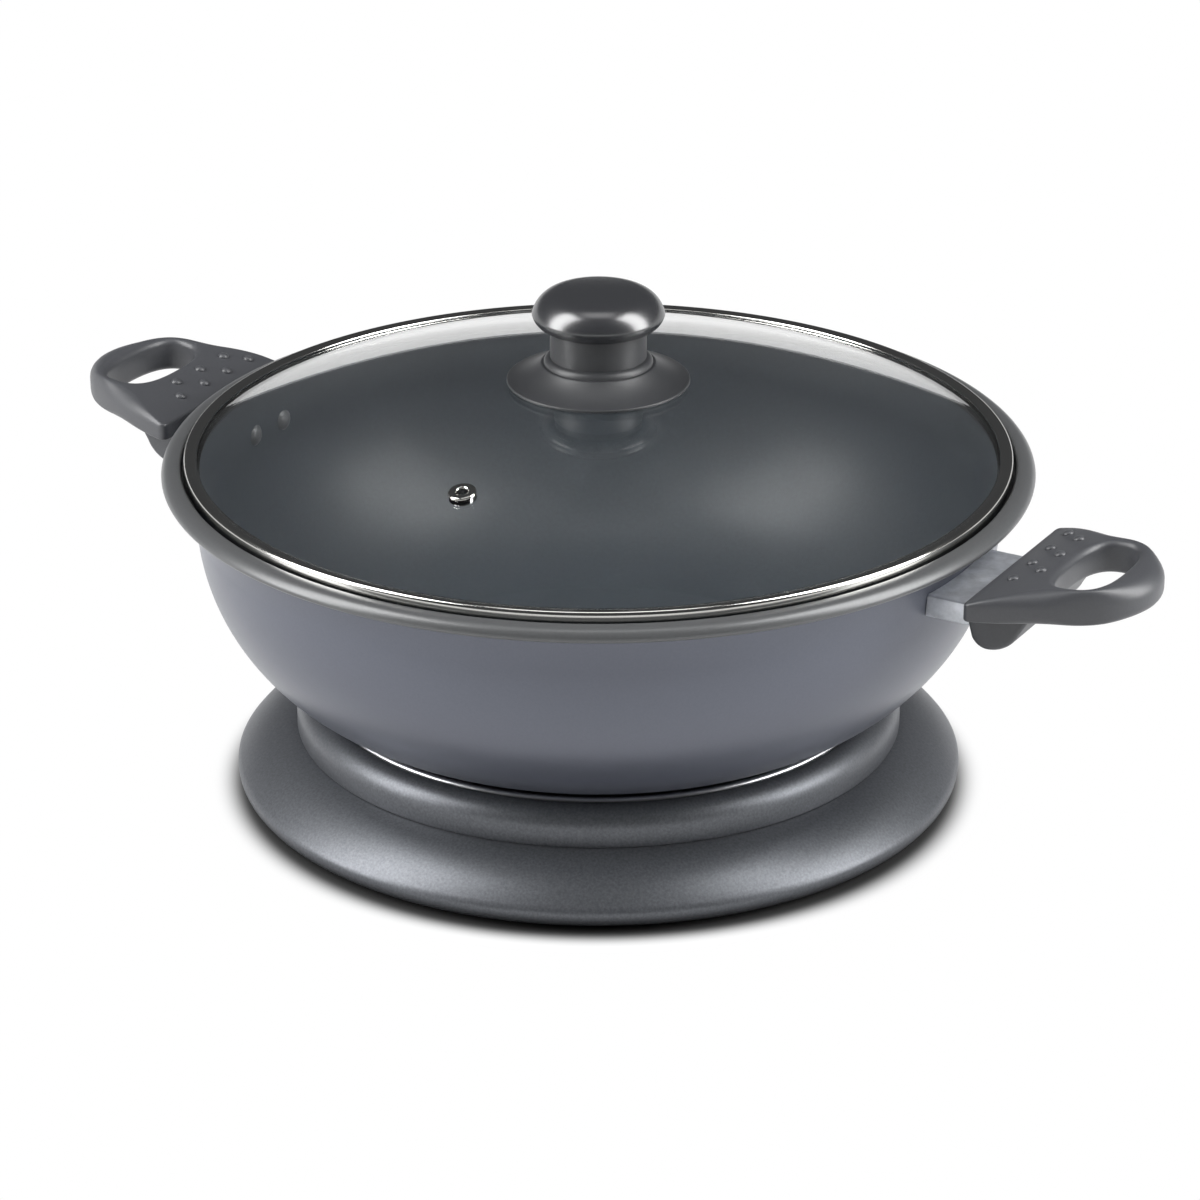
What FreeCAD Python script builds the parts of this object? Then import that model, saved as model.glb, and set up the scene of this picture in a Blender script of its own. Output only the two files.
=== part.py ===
import FreeCAD, Part
import Sketcher
import math
import os
import re

# An electric wok: a heated base, a lift-off pan with two handles, a glass lid with a knob,
# and a thermostat control plugged into the rear of the base.
# Lengths are millimetres. Z is up with the feet on z = 0, the handles lie along X and the
# control along +Y.

sizes = {
    # Feet, bottom plate and their fasteners
    "foot_height": 4.0,
    "foot_radius": 8.0,
    "foot_inset": 2.1,
    "foot_stem_radius": 3.2,
    "foot_barb": 2.4,
    "bottom_wall": 1.5,
    "bottom_clearance": 0.5,
    "vent_circle": 86.0,
    "vent_length": 22.0,
    "vent_radius": 2.0,
    "vent_count": 12,
    "screw_radius": 1.75,
    "screw_head_radius": 3.5,
    "screw_head_height": 2.0,
    "screw_length": 10.0,
    "hole_clearance": 0.2,
    # Skirt and collar
    "skirt_clearance": 1.5,
    "skirt_height": 22.3,
    "collar_radius": 120.1,
    "skirt_spread": 23.8,
    "edge_inset": 4.5,
    "edge_height": 7.5,
    "edge_roll": 6.4,
    "skirt_bow": 40.0,
    "skirt_wall": 2.2,
    "shelf_width": 11.5,
    "shelf_rim_height": 3.0,
    "post_radius": 4.0,
    "post_inset": 6.0,
    "collar_wall": 2.5,
    "collar_round": 8.6,
    "ledge_depth": 2.5,
    "pan_gap": 3.1,
    # Heat reflector
    "reflector_wall": 1.0,
    "lip_gap": 0.6,
    "lip_width": 6.6,
    "dish_taper": 6.0,
    "dish_round": 5.0,
    "reflector_hole": 24.0,
    # Hot plate, its stand and its element
    "lower_spacer": 6.5,
    "upper_spacer": 11.5,
    "spacer_radius": 4.5,
    "bolt_circle": 36.0,
    "bolt_radius": 2.0,
    "bolt_head_radius": 3.8,
    "bolt_grip": 6.0,
    "plate_thickness": 9.5,
    "plate_chamfer": 1.0,
    "element_circle": 52.0,
    "element_radius": 3.5,
    "element_bend": 10.0,
    "element_gap": 0.15,
    "probe_boss_radius": 5.2,
    "probe_boss_length": 12.0,
    "probe_contact_length": 10.0,
    "fuse_radius": 2.0,
    "fuse_length": 14.0,
    "clip_wall": 0.8,
    "clip_width": 9.0,
    # Inlet socket at the rear
    "pin_spacing": 22.0,
    "pin_radius": 2.0,
    "seal_length": 3.0,
    "seal_wall": 1.2,
    "socket_half_width": 25.0,
    "socket_half_height": 7.5,
    "socket_wall": 2.0,
    "socket_back": 4.0,
    "socket_proud": 1.0,
    "socket_inset": 14.1,
    "ear_width": 9.0,
    "ear_wall": 3.0,
    "ear_depth": 7.5,
    # Pan
    "flat_radius": 76.0,
    "belly_radius": 81.0,
    "upper_wall": 20.5,
    "flare": 1.5,
    "pan_wall": 2.6,
    "pan_floor": 4.0,
    "floor_round": 12.0,
    "foot_ring_width": 5.0,
    "foot_ring_height": 1.5,
    "ring_clearance": 1.0,
    "seat_width": 6.5,
    "seat_depth": 4.5,
    "flange_width": 7.6,
    "flange_drop": 3.4,
    "flange_round": 4.6,
    # Handle brackets and rivets
    "bracket_half_width": 25.5,
    "bracket_height": 9.0,
    "bracket_wall": 1.8,
    "bracket_grip": 7.5,
    "bracket_drop": 12.0,
    "rivet_spacing": 20.4,
    "rivet_radius": 1.8,
    "rivet_head_radius": 4.2,
    "rivet_head_height": 1.7,
    "rivet_tail_height": 1.4,
    "seam_gap": 0.1,
    # Handles
    "handle_gap": 7.0,
    "handle_length": 59.5,
    "handle_half_width": 42.0,
    "tip_depth": 14.5,
    "tip_half_width": 25.5,
    "handle_thickness": 6.6,
    "handle_rise": 8.2,
    "handle_arch": 140.0,
    "tip_thickness": 12.5,
    "grip_edge_round": 2.4,
    "grip_hole_start": 24.0,
    "tip_band": 13.0,
    "grip_hole_half_length": 24.0,
    "grip_hole_end_share": 0.8,
    "boss_overhang": 4.0,
    "boss_depth": 25.0,
    "boss_half_width": 30.0,
    "boss_height": 5.8,
    "boss_round": 4.5,
    "boss_slope": 11.0,
    "boss_side_round": 2.0,
    "handle_screw_radius": 2.0,
    "handle_screw_head": 3.6,
    "handle_screw_head_height": 2.6,
    "handle_screw_recess": 0.6,
    "handle_screw_bite": 5.0,
    # Lid
    "lid_clearance": 1.2,
    "rim_ring_wall": 0.9,
    "rim_ring_width": 7.0,
    "rim_lip_width": 5.2,
    "rim_round": 1.6,
    "glass_gap": 0.15,
    "glass_thickness": 3.6,
    "dome_radius": 428.5,
    "vent_place": 101.0,
    "vent_bore": 2.2,
    "vent_tube_wall": 1.4,
    "vent_flange_radius": 5.4,
    "vent_flange_wall": 0.8,
    # Lid knob
    "gasket_radius": 11.0,
    "gasket_thickness": 1.2,
    "knob_skirt_radius": 35.5,
    "knob_skirt_edge": 1.2,
    "knob_skirt_height": 6.6,
    "knob_step_radius": 21.2,
    "knob_neck_radius": 18.7,
    "knob_neck_height": 11.9,
    "knob_radius": 25.7,
    "knob_under_height": 5.4,
    "knob_cap_height": 9.2,
    "knob_crown_radius": 15.0,
    "knob_under_sweep": 7.2,
    "knob_cap_sweep": 11.6,
    "knob_crown_sweep": 120.0,
    "knob_skirt_sweep": 24.0,
    "knob_screw_radius": 2.0,
    "knob_screw_length": 24.0,
    "knob_screw_head_radius": 4.5,
    "knob_screw_head_height": 2.4,
    "washer_radius": 9.0,
    "washer_thickness": 1.0,
    # Thermostat control
    "plug_clearance": 0.5,
    "pin_reach": 26.0,
    "sleeve_wall": 0.9,
    "fit_gap": 0.3,
    "probe_radius": 2.4,
    "probe_end_gap": 0.4,
    "block_tail": 8.0,
    "control_gap": 2.0,
    "control_half_width": 26.0,
    "control_length": 66.0,
    "control_top": 17.5,
    "control_bottom": 15.0,
    "control_wall": 2.2,
    "control_corner": 9.0,
    "control_edge_round": 3.0,
    "control_post_radius": 4.6,
    "control_post_inset": 8.5,
    "control_screw_bite": 8.0,
    "control_screw_recess": 4.0,
    "cord_hole_radius": 4.0,
    "lamp_radius": 3.5,
    "lamp_proud": 1.2,
    "lamp_inset": 9.5,
    "lamp_flange": 1.0,
    "bulb_radius": 2.4,
    "bulb_length": 8.0,
    "switch_half_width": 12.0,
    "switch_half_length": 15.0,
    "switch_height": 11.0,
    # Dial
    "dial_inset": 35.0,
    "dial_radius": 19.0,
    "dial_height": 9.0,
    "dial_gap": 0.6,
    "dial_wall": 2.2,
    "dial_hub_radius": 5.5,
    "dial_flute_radius": 1.6,
    "dial_flutes": 18,
    "spindle_radius": 3.0,
    "spindle_gap": 0.05,
    "spindle_grip": 5.5,
    "spindle_depth": 8.0,
}

# Places and sizes that follow from the ones above
formulas = {
    # Heights, from the table up
    "bottom_top": "foot_height + bottom_wall",
    "reflector_under": "bottom_top + lower_spacer",
    "reflector_floor": "reflector_under + reflector_wall",
    "plate_under": "reflector_floor + upper_spacer",
    "plate_top": "plate_under + plate_thickness",
    "belly_height": "plate_top + belly_radius",
    "flange_top": "belly_height + upper_wall",
    "seat_height": "flange_top - seat_depth",
    "plug_height": "plate_under",
    # Base
    "edge_radius": "collar_radius + skirt_spread",
    "skirt_foot_radius": "edge_radius - edge_inset",
    "skirt_top": "skirt_clearance + skirt_height",
    "shelf_under": "skirt_top - skirt_wall",
    "shelf_radius": "collar_radius - shelf_width",
    "collar_bore": "collar_radius - collar_wall",
    "collar_edge": "collar_radius - collar_round",
    "collar_top": "belly_height - sqrt(belly_radius ^ 2 - (collar_edge - flat_radius) ^ 2) - pan_gap",
    "ledge_height": "collar_top - ledge_depth",
    "ledge_under": "ledge_height - collar_wall",
    "foot_circle": "collar_radius - foot_inset",
    "post_circle": "collar_radius - post_inset",
    "socket_start": "collar_radius - socket_inset",
    "bottom_radius": "skirt_foot_radius - skirt_wall - bottom_clearance",
    "lip_radius": "collar_edge - lip_gap",
    "lip_bore": "lip_radius - lip_width",
    "ledge_radius": "lip_bore + reflector_wall + 2 * lip_gap",
    "lip_top": "ledge_height + reflector_wall",
    "dish_radius": "lip_bore - dish_taper",
    # Heater
    "plate_radius": "flat_radius - foot_ring_width - ring_clearance",
    "pin_place": "pin_spacing / 2",
    "bend_place": "pin_place + element_bend",
    "bend_start": "sqrt((element_circle + element_bend) ^ 2 - bend_place ^ 2)",
    "ring_end_x": "bend_place * element_circle / (element_circle + element_bend)",
    "ring_end_y": "bend_start * element_circle / (element_circle + element_bend)",
    "lead_end": "socket_start - seal_length - 1",
    "probe_boss_end": "plate_radius + probe_boss_length",
    "probe_bore_end": "probe_boss_end - probe_contact_length",
    "socket_end": "edge_radius + socket_proud",
    "socket_floor": "socket_start + socket_back",
    # Pan
    "wall_radius": "flat_radius + belly_radius",
    "neck_radius": "wall_radius + flare",
    "neck_height": "seat_height - pan_wall",
    "throat_radius": "neck_radius - pan_wall",
    "seat_radius": "throat_radius + seat_width",
    "flange_radius": "seat_radius + flange_width",
    "inner_belly": "belly_radius - pan_wall",
    "floor_height": "plate_top + pan_floor",
    "floor_radius": "flat_radius + sqrt(inner_belly ^ 2 - (belly_height - floor_height) ^ 2)",
    # Handles
    "bracket_top": "seat_height - bracket_drop",
    "bracket_under": "bracket_top - bracket_height",
    "rivet_height": "bracket_under + bracket_height / 2",
    "rivet_angle": "asin(rivet_spacing / 2 / wall_radius)",
    "rivet_tail_radius": "bracket_height / 2 - bracket_wall - hole_clearance",
    "bracket_back": "wall_radius + bracket_wall + flare",
    "handle_start": "flange_radius + handle_gap",
    "bracket_end": "handle_start + bracket_grip",
    "handle_tip": "handle_start + handle_length",
    "handle_under": "bracket_top + hole_clearance",
    "handle_over": "handle_under + handle_thickness",
    "handle_crest": "handle_over + handle_rise",
    "handle_edge_round": "0.45 * handle_thickness",
    "boss_start": "handle_start - boss_overhang",
    "boss_end": "boss_start + boss_depth",
    "boss_top": "bracket_under - hole_clearance",
    "boss_under": "boss_top - boss_height",
    "handle_screw_place": "handle_start + bracket_grip / 2",
    "tip_radius": "(tip_depth ^ 2 + tip_half_width ^ 2) / (2 * tip_depth)",
    "side_length": "handle_length - tip_depth",
    "side_taper": "handle_half_width - tip_half_width",
    "side_bow": "(side_length ^ 2 + side_taper ^ 2) * tip_radius"
                " / (2 * (side_length * (tip_radius - tip_depth) - tip_half_width * side_taper))",
    "grip_hole_half_width": "(handle_length - grip_hole_start - tip_band) / 2",
    "grip_hole_x": "handle_start + grip_hole_start + grip_hole_half_width",
    "grip_hole_end_radius": "grip_hole_end_share * grip_hole_half_width",
    "grip_flank": "((grip_hole_half_length - grip_hole_end_radius) ^ 2 + grip_hole_half_width ^ 2"
                  " - grip_hole_end_radius ^ 2) / (2 * (grip_hole_half_width - grip_hole_end_radius))",
    "grip_join_x": "grip_hole_end_radius * (grip_flank - grip_hole_half_width)"
                   " / (grip_flank - grip_hole_end_radius)",
    "grip_join_y": "(grip_hole_half_length - grip_hole_end_radius) * grip_flank"
                   " / (grip_flank - grip_hole_end_radius)",
    # Lid
    "ring_radius": "seat_radius - lid_clearance",
    "ring_bore": "ring_radius - rim_ring_width",
    "glass_radius": "ring_radius - rim_ring_wall - glass_gap",
    "glass_edge_under": "seat_height + rim_ring_wall + glass_gap",
    "dome_under_radius": "dome_radius - glass_thickness",
    "dome_centre": "glass_edge_under - sqrt(dome_under_radius ^ 2 - glass_radius ^ 2)",
    "dome_top": "dome_centre + dome_radius",
    "dome_under": "dome_centre + dome_under_radius",
    "glass_edge_top": "dome_centre + sqrt(dome_radius ^ 2 - glass_radius ^ 2)",
    "ring_lip_radius": "ring_radius - rim_lip_width",
    "ring_lip_height": "dome_centre + sqrt(dome_radius ^ 2 - ring_lip_radius ^ 2) + glass_gap",
    "ring_crown": "ring_lip_height + rim_ring_wall + rim_round / 4",
    "vent_tilt": "asin(vent_place / dome_radius)",
    "knob_skirt_under": "dome_centre + sqrt(dome_radius ^ 2 - knob_skirt_radius ^ 2) + glass_gap",
    "knob_skirt_top": "knob_skirt_under + knob_skirt_edge + knob_skirt_height",
    "knob_neck_start": "knob_skirt_top + knob_step_radius - knob_neck_radius",
    "knob_neck_end": "knob_neck_start + knob_neck_height",
    "knob_widest": "knob_neck_end + knob_under_height",
    "knob_top": "knob_widest + knob_cap_height",
    "gasket_under": "dome_top + glass_gap",
    "gasket_top": "gasket_under + gasket_thickness",
    "washer_top": "dome_centre + sqrt(dome_under_radius ^ 2 - washer_radius ^ 2) - glass_gap",
    "washer_under": "washer_top - washer_thickness",
    # Thermostat control
    "nose_half_width": "socket_half_width - socket_wall - plug_clearance",
    "nose_half_height": "socket_half_height - socket_wall - plug_clearance",
    "nose_start": "socket_floor + plug_clearance",
    "control_start": "socket_end + control_gap",
    "control_end": "control_start + control_length",
    "sleeve_bore": "pin_radius + fit_gap",
    "sleeve_radius": "sleeve_bore + sleeve_wall",
    "probe_start": "probe_bore_end + probe_end_gap",
    "block_end": "control_start + control_wall + block_tail",
    "shell_over": "plug_height + control_top",
    "shell_under": "plug_height - control_bottom",
    "shell_ceiling": "shell_over - control_wall",
    "lamp_place": "control_start + lamp_inset",
    "dial_place": "control_start + dial_inset",
    "dial_under": "shell_over + dial_gap",
    "dial_top": "dial_under + dial_height",
}

doc = FreeCAD.newDocument("ElectricWok")
sheet = doc.addObject("Spreadsheet::Sheet", "Sizes")
cells = {name: str(value) for name, value in sizes.items()}
cells.update({name: "=" + formula for name, formula in formulas.items()})
for row, (name, content) in enumerate(cells.items(), start=1):
    sheet.set(f"A{row}", name)
    sheet.set(f"B{row}", content)
    sheet.setAlias(f"B{row}", name)
doc.recompute()

pieces = []  # the bodies that are exported, in order


def number(formula):
    """The value of a formula of sizes."""
    value = sheet.evalExpression(formula)
    return float(getattr(value, "Value", value))


def bind(thing, prop, formula):
    """Ties a property to a formula of sizes."""
    linked = re.sub(r"[a-z_]\w*", lambda word: f"Sizes.{word[0]}" if word[0] in cells else word[0], formula)
    thing.setExpression(prop, linked)


def new_body(label):
    body = doc.addObject("PartDesign::Body", label)
    body.Label = label
    body.AllowCompound = True
    pieces.append(body)
    return body


def origin_of(body, role):
    return next(feature for feature in body.Origin.OriginFeatures if feature.Role == role)


def place(body, x="0", y="0", z="0", axis="0; 0; 1", angle="0"):
    """Sets a body's placement by formulas."""
    bind(body, "Placement", f"placement(vector({x}; {y}; {z}); rotation(vector({axis}); {angle}))")


def sketch_on(body, name, plane, offset=None):
    """A sketch on one of the body's own planes, at an offset along the plane's normal."""
    sketch = body.newObject("Sketcher::SketchObject", f"{body.Name}_{name}_sketch")
    sketch.AttachmentSupport = [(origin_of(body, plane), "")]
    sketch.MapMode = "FlatFace"
    if offset:
        bind(sketch, "AttachmentOffset.Base.z", offset)
    return sketch


def fix_point(sketch, edge, end, x, y):
    """Dimensions a point from the sketch's origin."""
    for formula, kind, axis in ((x, "DistanceX", -2), (y, "DistanceY", -1)):
        if formula == "0":
            sketch.addConstraint(Sketcher.Constraint("PointOnObject", edge, end, axis))
        else:
            index = sketch.addConstraint(Sketcher.Constraint(kind, -1, 1, edge, end, number(formula)))
            bind(sketch, f"Constraints[{index}]", formula)


def outline(sketch, corners, closed=True):
    """Draws lines and arcs from corner to corner.

    A corner is (x, y), or (x, y, turn, radius) where an arc leaves it for the next corner:
    turn is 1 for an arc that turns left on its way and -1 for one that turns right.
    """
    points = [FreeCAD.Vector(number(corner[0]), number(corner[1]), 0) for corner in corners]
    count = len(corners) if closed else len(corners) - 1
    edges = []
    for index in range(count):
        start, end = points[index], points[(index + 1) % len(points)]
        if len(corners[index]) == 2:
            edge = sketch.addGeometry(Part.LineSegment(start, end))
            edges.append((edge, 1, 2))
            continue
        turn, formula = corners[index][2:]
        radius = number(formula)
        chord = end - start
        left = FreeCAD.Vector(-chord.y, chord.x, 0).normalize()
        depth = math.sqrt(max(radius ** 2 - (chord.Length / 2) ** 2, 0))
        centre = start + chord * 0.5 + left * (turn * depth)
        angles = [math.atan2(point.y - centre.y, point.x - centre.x) for point in (start, end)]
        circle = Part.Circle(centre, FreeCAD.Vector(0, 0, 1), radius)
        edge = sketch.addGeometry(Part.ArcOfCircle(circle, *angles[::turn]))
        edges.append((edge, 1, 2) if turn > 0 else (edge, 2, 1))
        size = sketch.addConstraint(Sketcher.Constraint("Radius", edge, radius))
        bind(sketch, f"Constraints[{size}]", formula)
    for index, (edge, start, end) in enumerate(edges):
        fix_point(sketch, edge, start, *corners[index][:2])
        if closed or index < count - 1:
            follower = edges[(index + 1) % count]
            sketch.addConstraint(Sketcher.Constraint("Coincident", edge, end, follower[0], follower[1]))
        else:
            fix_point(sketch, edge, end, *corners[-1][:2])


def circle(sketch, x, y, radius):
    centre = FreeCAD.Vector(number(x), number(y), 0)
    edge = sketch.addGeometry(Part.Circle(centre, FreeCAD.Vector(0, 0, 1), number(radius)))
    fix_point(sketch, edge, 3, x, y)
    size = sketch.addConstraint(Sketcher.Constraint("Radius", edge, number(radius)))
    bind(sketch, f"Constraints[{size}]", radius)


def rectangle(sketch, x0, x1, y0, y1):
    outline(sketch, [(x0, y0), (x1, y0), (x1, y1), (x0, y1)])


def ring_places(radius, count, start):
    """Formulas for the points of a circle of holes or posts."""
    angles = [start + 360 * index / count for index in range(count)]
    return [(f"{radius} * cos({angle})", f"{radius} * sin({angle})") for angle in angles]


def feature(body, kind, name, sketch, **settings):
    """Adds a PartDesign feature. Settings given as text are formulas, the rest plain values."""
    made = body.newObject(f"PartDesign::{kind}", f"{body.Name}_{name}")
    made.Profile = sketch
    for prop, value in settings.items():
        if isinstance(value, str) and prop != "Type":
            bind(made, prop, value)
        else:
            setattr(made, prop, value)
    return made


def revolve(body, name, corners, kind="Revolution", plane="XZ_Plane"):
    """Turns a half section about the body's Z axis."""
    sketch = sketch_on(body, name, plane)
    outline(sketch, corners)
    made = feature(body, kind, name, sketch, Angle=360)
    made.ReferenceAxis = (sketch, ["V_Axis"])
    return made


def pad(body, name, sketch, length, **settings):
    return feature(body, "Pad", name, sketch, Length=length, **settings)


def pocket(body, name, sketch, length, **settings):
    """Cuts and makes sure that something was cut away."""
    doc.recompute()
    before = body.Shape.Volume
    made = feature(body, "Pocket", name, sketch, Length=length, **settings)
    doc.recompute()
    if not body.Shape.Volume < before - 1e-6:
        raise RuntimeError(f"{made.Name} cuts nothing")
    return made


def pattern(body, name, original, count, axis="Z_Axis"):
    made = body.newObject("PartDesign::PolarPattern", f"{body.Name}_{name}")
    made.Originals = [original]
    made.Axis = (origin_of(body, axis), [""])
    made.Angle = 360
    bind(made, "Occurrences", count)
    body.Tip = made
    return made


def round_edges(body, name, radius, chosen):
    """Fillets the edges of the body so far that the test picks."""
    doc.recompute()
    base = body.Tip
    names = [f"Edge{index}" for index, edge in enumerate(base.Shape.Edges, start=1) if chosen(edge)]
    if not names:
        raise RuntimeError(f"{body.Label} has no edge for {name}")
    made = body.newObject("PartDesign::Fillet", f"{body.Name}_{name}")
    made.Base = (base, names)
    bind(made, "Radius", radius)
    doc.recompute()
    if "Invalid" in made.State:
        raise RuntimeError(f"{made.Name} fails")
    return made


def near(value, formula, slack=0.01):
    return abs(value - number(formula)) < slack


def at_height(edge, formula):
    """True for an edge that lies flat at a height."""
    box = edge.BoundBox
    return near(box.ZMin, formula) and near(box.ZMax, formula)


def fasteners(label, places, head_start, head_end, head_radius, shank_end, shank_radius):
    """A group of identical screws along Z: round heads, and shanks from the heads to shank_end."""
    body = new_body(label)
    for name, start, end, radius in (("heads", head_start, head_end, head_radius),
                                     ("shanks", head_end, shank_end, shank_radius)):
        sketch = sketch_on(body, name, "XY_Plane", start)
        for x, y in places:
            circle(sketch, x, y, radius)
        downward = number(end) < number(start)
        length = f"{start} - ({end})" if downward else f"{end} - ({start})"
        pad(body, name, sketch, length, Reversed=downward)
    return body


# Base: feet, bottom plate, skirt and collar

bolt_places = ring_places("bolt_circle", 3, 30)
foot_places = ring_places("foot_circle", 4, 0)
post_places = ring_places("post_circle", 4, 45)
pin_places = [("pin_place", "plug_height"), ("-pin_place", "plug_height")]
ear_middle = "(socket_half_width + ear_width / 2)"
ear_places = [(sign + ear_middle, "socket_start + ear_depth / 2") for sign in ("", "-")]


def make_foot(label, x, y):
    """A rubber foot: a rounded pad, and a stem that snaps through the bottom plate."""
    body = new_body(label)
    revolve(body, "shape", [
        ("0", "0"),
        ("foot_radius - 1.5", "0", 1, "1.5"),
        ("foot_radius", "1.5"),
        ("foot_radius - 0.8", "foot_height"),
        ("foot_stem_radius", "foot_height"),
        ("foot_stem_radius", "bottom_top + 0.1"),
        ("foot_stem_radius + 0.9", "bottom_top + 0.1"),
        ("foot_stem_radius - 0.7", "bottom_top + foot_barb"),
        ("0", "bottom_top + foot_barb"),
    ])
    place(body, x, y)


def make_bottom_plate():
    body = new_body("bottom_plate")
    disc = sketch_on(body, "disc", "XY_Plane", "foot_height")
    circle(disc, "0", "0", "bottom_radius")
    pad(body, "disc", disc, "bottom_wall")
    holes = sketch_on(body, "holes", "XY_Plane", "foot_height")
    for x, y in foot_places:
        circle(holes, x, y, "foot_stem_radius + hole_clearance")
    for x, y in post_places:
        circle(holes, x, y, "screw_radius + hole_clearance")
    for x, y in bolt_places:
        circle(holes, x, y, "bolt_radius + hole_clearance")
    pocket(body, "holes", holes, "bottom_wall", Reversed=True)
    vent = sketch_on(body, "vent", "XY_Plane", "foot_height")
    inner, outer = "vent_circle - vent_length / 2", "vent_circle + vent_length / 2"
    outline(vent, [
        (inner, "-vent_radius"),
        (outer, "-vent_radius", 1, "vent_radius"),
        (outer + " + vent_radius", "0", 1, "vent_radius"),
        (outer, "vent_radius"),
        (inner, "vent_radius", 1, "vent_radius"),
        (inner + " - vent_radius", "0", 1, "vent_radius"),
    ])
    slot = pocket(body, "vent", vent, "bottom_wall", Reversed=True)
    pattern(body, "vents", slot, "vent_count")


def make_skirt():
    body = new_body("base_skirt")
    rim_radius = "collar_bore - hole_clearance"
    revolve(body, "shell", [
        ("skirt_foot_radius", "skirt_clearance", 1, "edge_roll"),
        ("edge_radius", "skirt_clearance + edge_height", 1, "skirt_bow"),
        ("collar_radius", "skirt_top"),
        (rim_radius, "skirt_top"),
        (rim_radius, "skirt_top + shelf_rim_height"),
        (rim_radius + " - skirt_wall", "skirt_top + shelf_rim_height"),
        (rim_radius + " - skirt_wall", "skirt_top"),
        ("shelf_radius", "skirt_top"),
        ("shelf_radius", "shelf_under"),
        ("collar_radius - skirt_wall / 2", "shelf_under", -1, "skirt_bow"),
        ("edge_radius - skirt_wall", "skirt_clearance + edge_height", -1, "edge_roll"),
        ("skirt_foot_radius - skirt_wall", "skirt_clearance"),
    ])
    posts = sketch_on(body, "posts", "XY_Plane", "bottom_top")
    for x, y in post_places:
        circle(posts, x, y, "post_radius")
    pad(body, "posts", posts, "shelf_under - bottom_top + skirt_wall / 2")
    bores = sketch_on(body, "bores", "XY_Plane", "bottom_top")
    for x, y in post_places:
        circle(bores, x, y, "screw_radius + 0.05")
    pocket(body, "bores", bores, "screw_length - bottom_wall + 1", Reversed=True)
    ears = sketch_on(body, "ear_holes", "XY_Plane", "shelf_under")
    for x, y in ear_places:
        circle(ears, x, y, "screw_radius + 0.05")
    pocket(body, "ear_holes", ears, "skirt_wall", Reversed=True)
    cut_for_socket(body)


def cut_for_socket(body):
    """The opening at the rear that the inlet socket passes through."""
    sketch = sketch_on(body, "opening", "XZ_Plane")
    side = "socket_half_width + hole_clearance"
    rectangle(sketch, f"-({side})", side, "plug_height - socket_half_height - hole_clearance",
              "plug_height + socket_half_height + hole_clearance")
    pocket(body, "opening", sketch, "socket_end + 20")


def make_collar():
    body = new_body("base_collar")
    inner_round = "collar_round - collar_wall - 1"
    revolve(body, "ring", [
        ("collar_bore", "skirt_top"),
        ("collar_radius", "skirt_top"),
        ("collar_radius", "collar_top - collar_round", 1, "collar_round"),
        ("collar_edge", "collar_top"),
        ("collar_edge", "ledge_height"),
        ("ledge_radius", "ledge_height"),
        ("ledge_radius", "ledge_under"),
        (f"collar_bore - ({inner_round})", "ledge_under", -1, inner_round),
        ("collar_bore", f"ledge_under - ({inner_round})"),
    ])
    cut_for_socket(body)


# Base: reflector, hot plate and element

def make_reflector():
    """The polished dish under the hot plate, hung by its lip on the collar's ledge."""
    body = new_body("heat_reflector")
    revolve(body, "dish", [
        ("reflector_hole", "reflector_under"),
        ("dish_radius - dish_round", "reflector_under", 1, "dish_round + reflector_wall"),
        ("dish_radius + reflector_wall", "reflector_floor + dish_round"),
        ("lip_bore + reflector_wall", "ledge_height - reflector_wall"),
        ("ledge_radius - 0.1", "ledge_height"),
        ("lip_radius", "ledge_height", 1, "reflector_wall"),
        ("lip_radius - reflector_wall", "lip_top"),
        ("lip_bore + reflector_wall", "lip_top", 1, "2 * reflector_wall"),
        ("lip_bore", "lip_top - reflector_wall"),
        ("dish_radius", "reflector_floor + dish_round", -1, "dish_round"),
        ("dish_radius - dish_round", "reflector_floor"),
        ("reflector_hole", "reflector_floor"),
    ])
    holes = sketch_on(body, "bolt_holes", "XY_Plane", "reflector_under")
    for x, y in bolt_places:
        circle(holes, x, y, "bolt_radius + hole_clearance")
    pocket(body, "bolt_holes", holes, "reflector_wall", Reversed=True)
    passages = sketch_on(body, "passages", "XZ_Plane")
    for x, z in pin_places:
        circle(passages, x, z, "element_radius + 2 * hole_clearance")
    circle(passages, "0", "plug_height", "probe_radius + 5 * hole_clearance")
    pocket(body, "passages", passages, "collar_radius")


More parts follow.
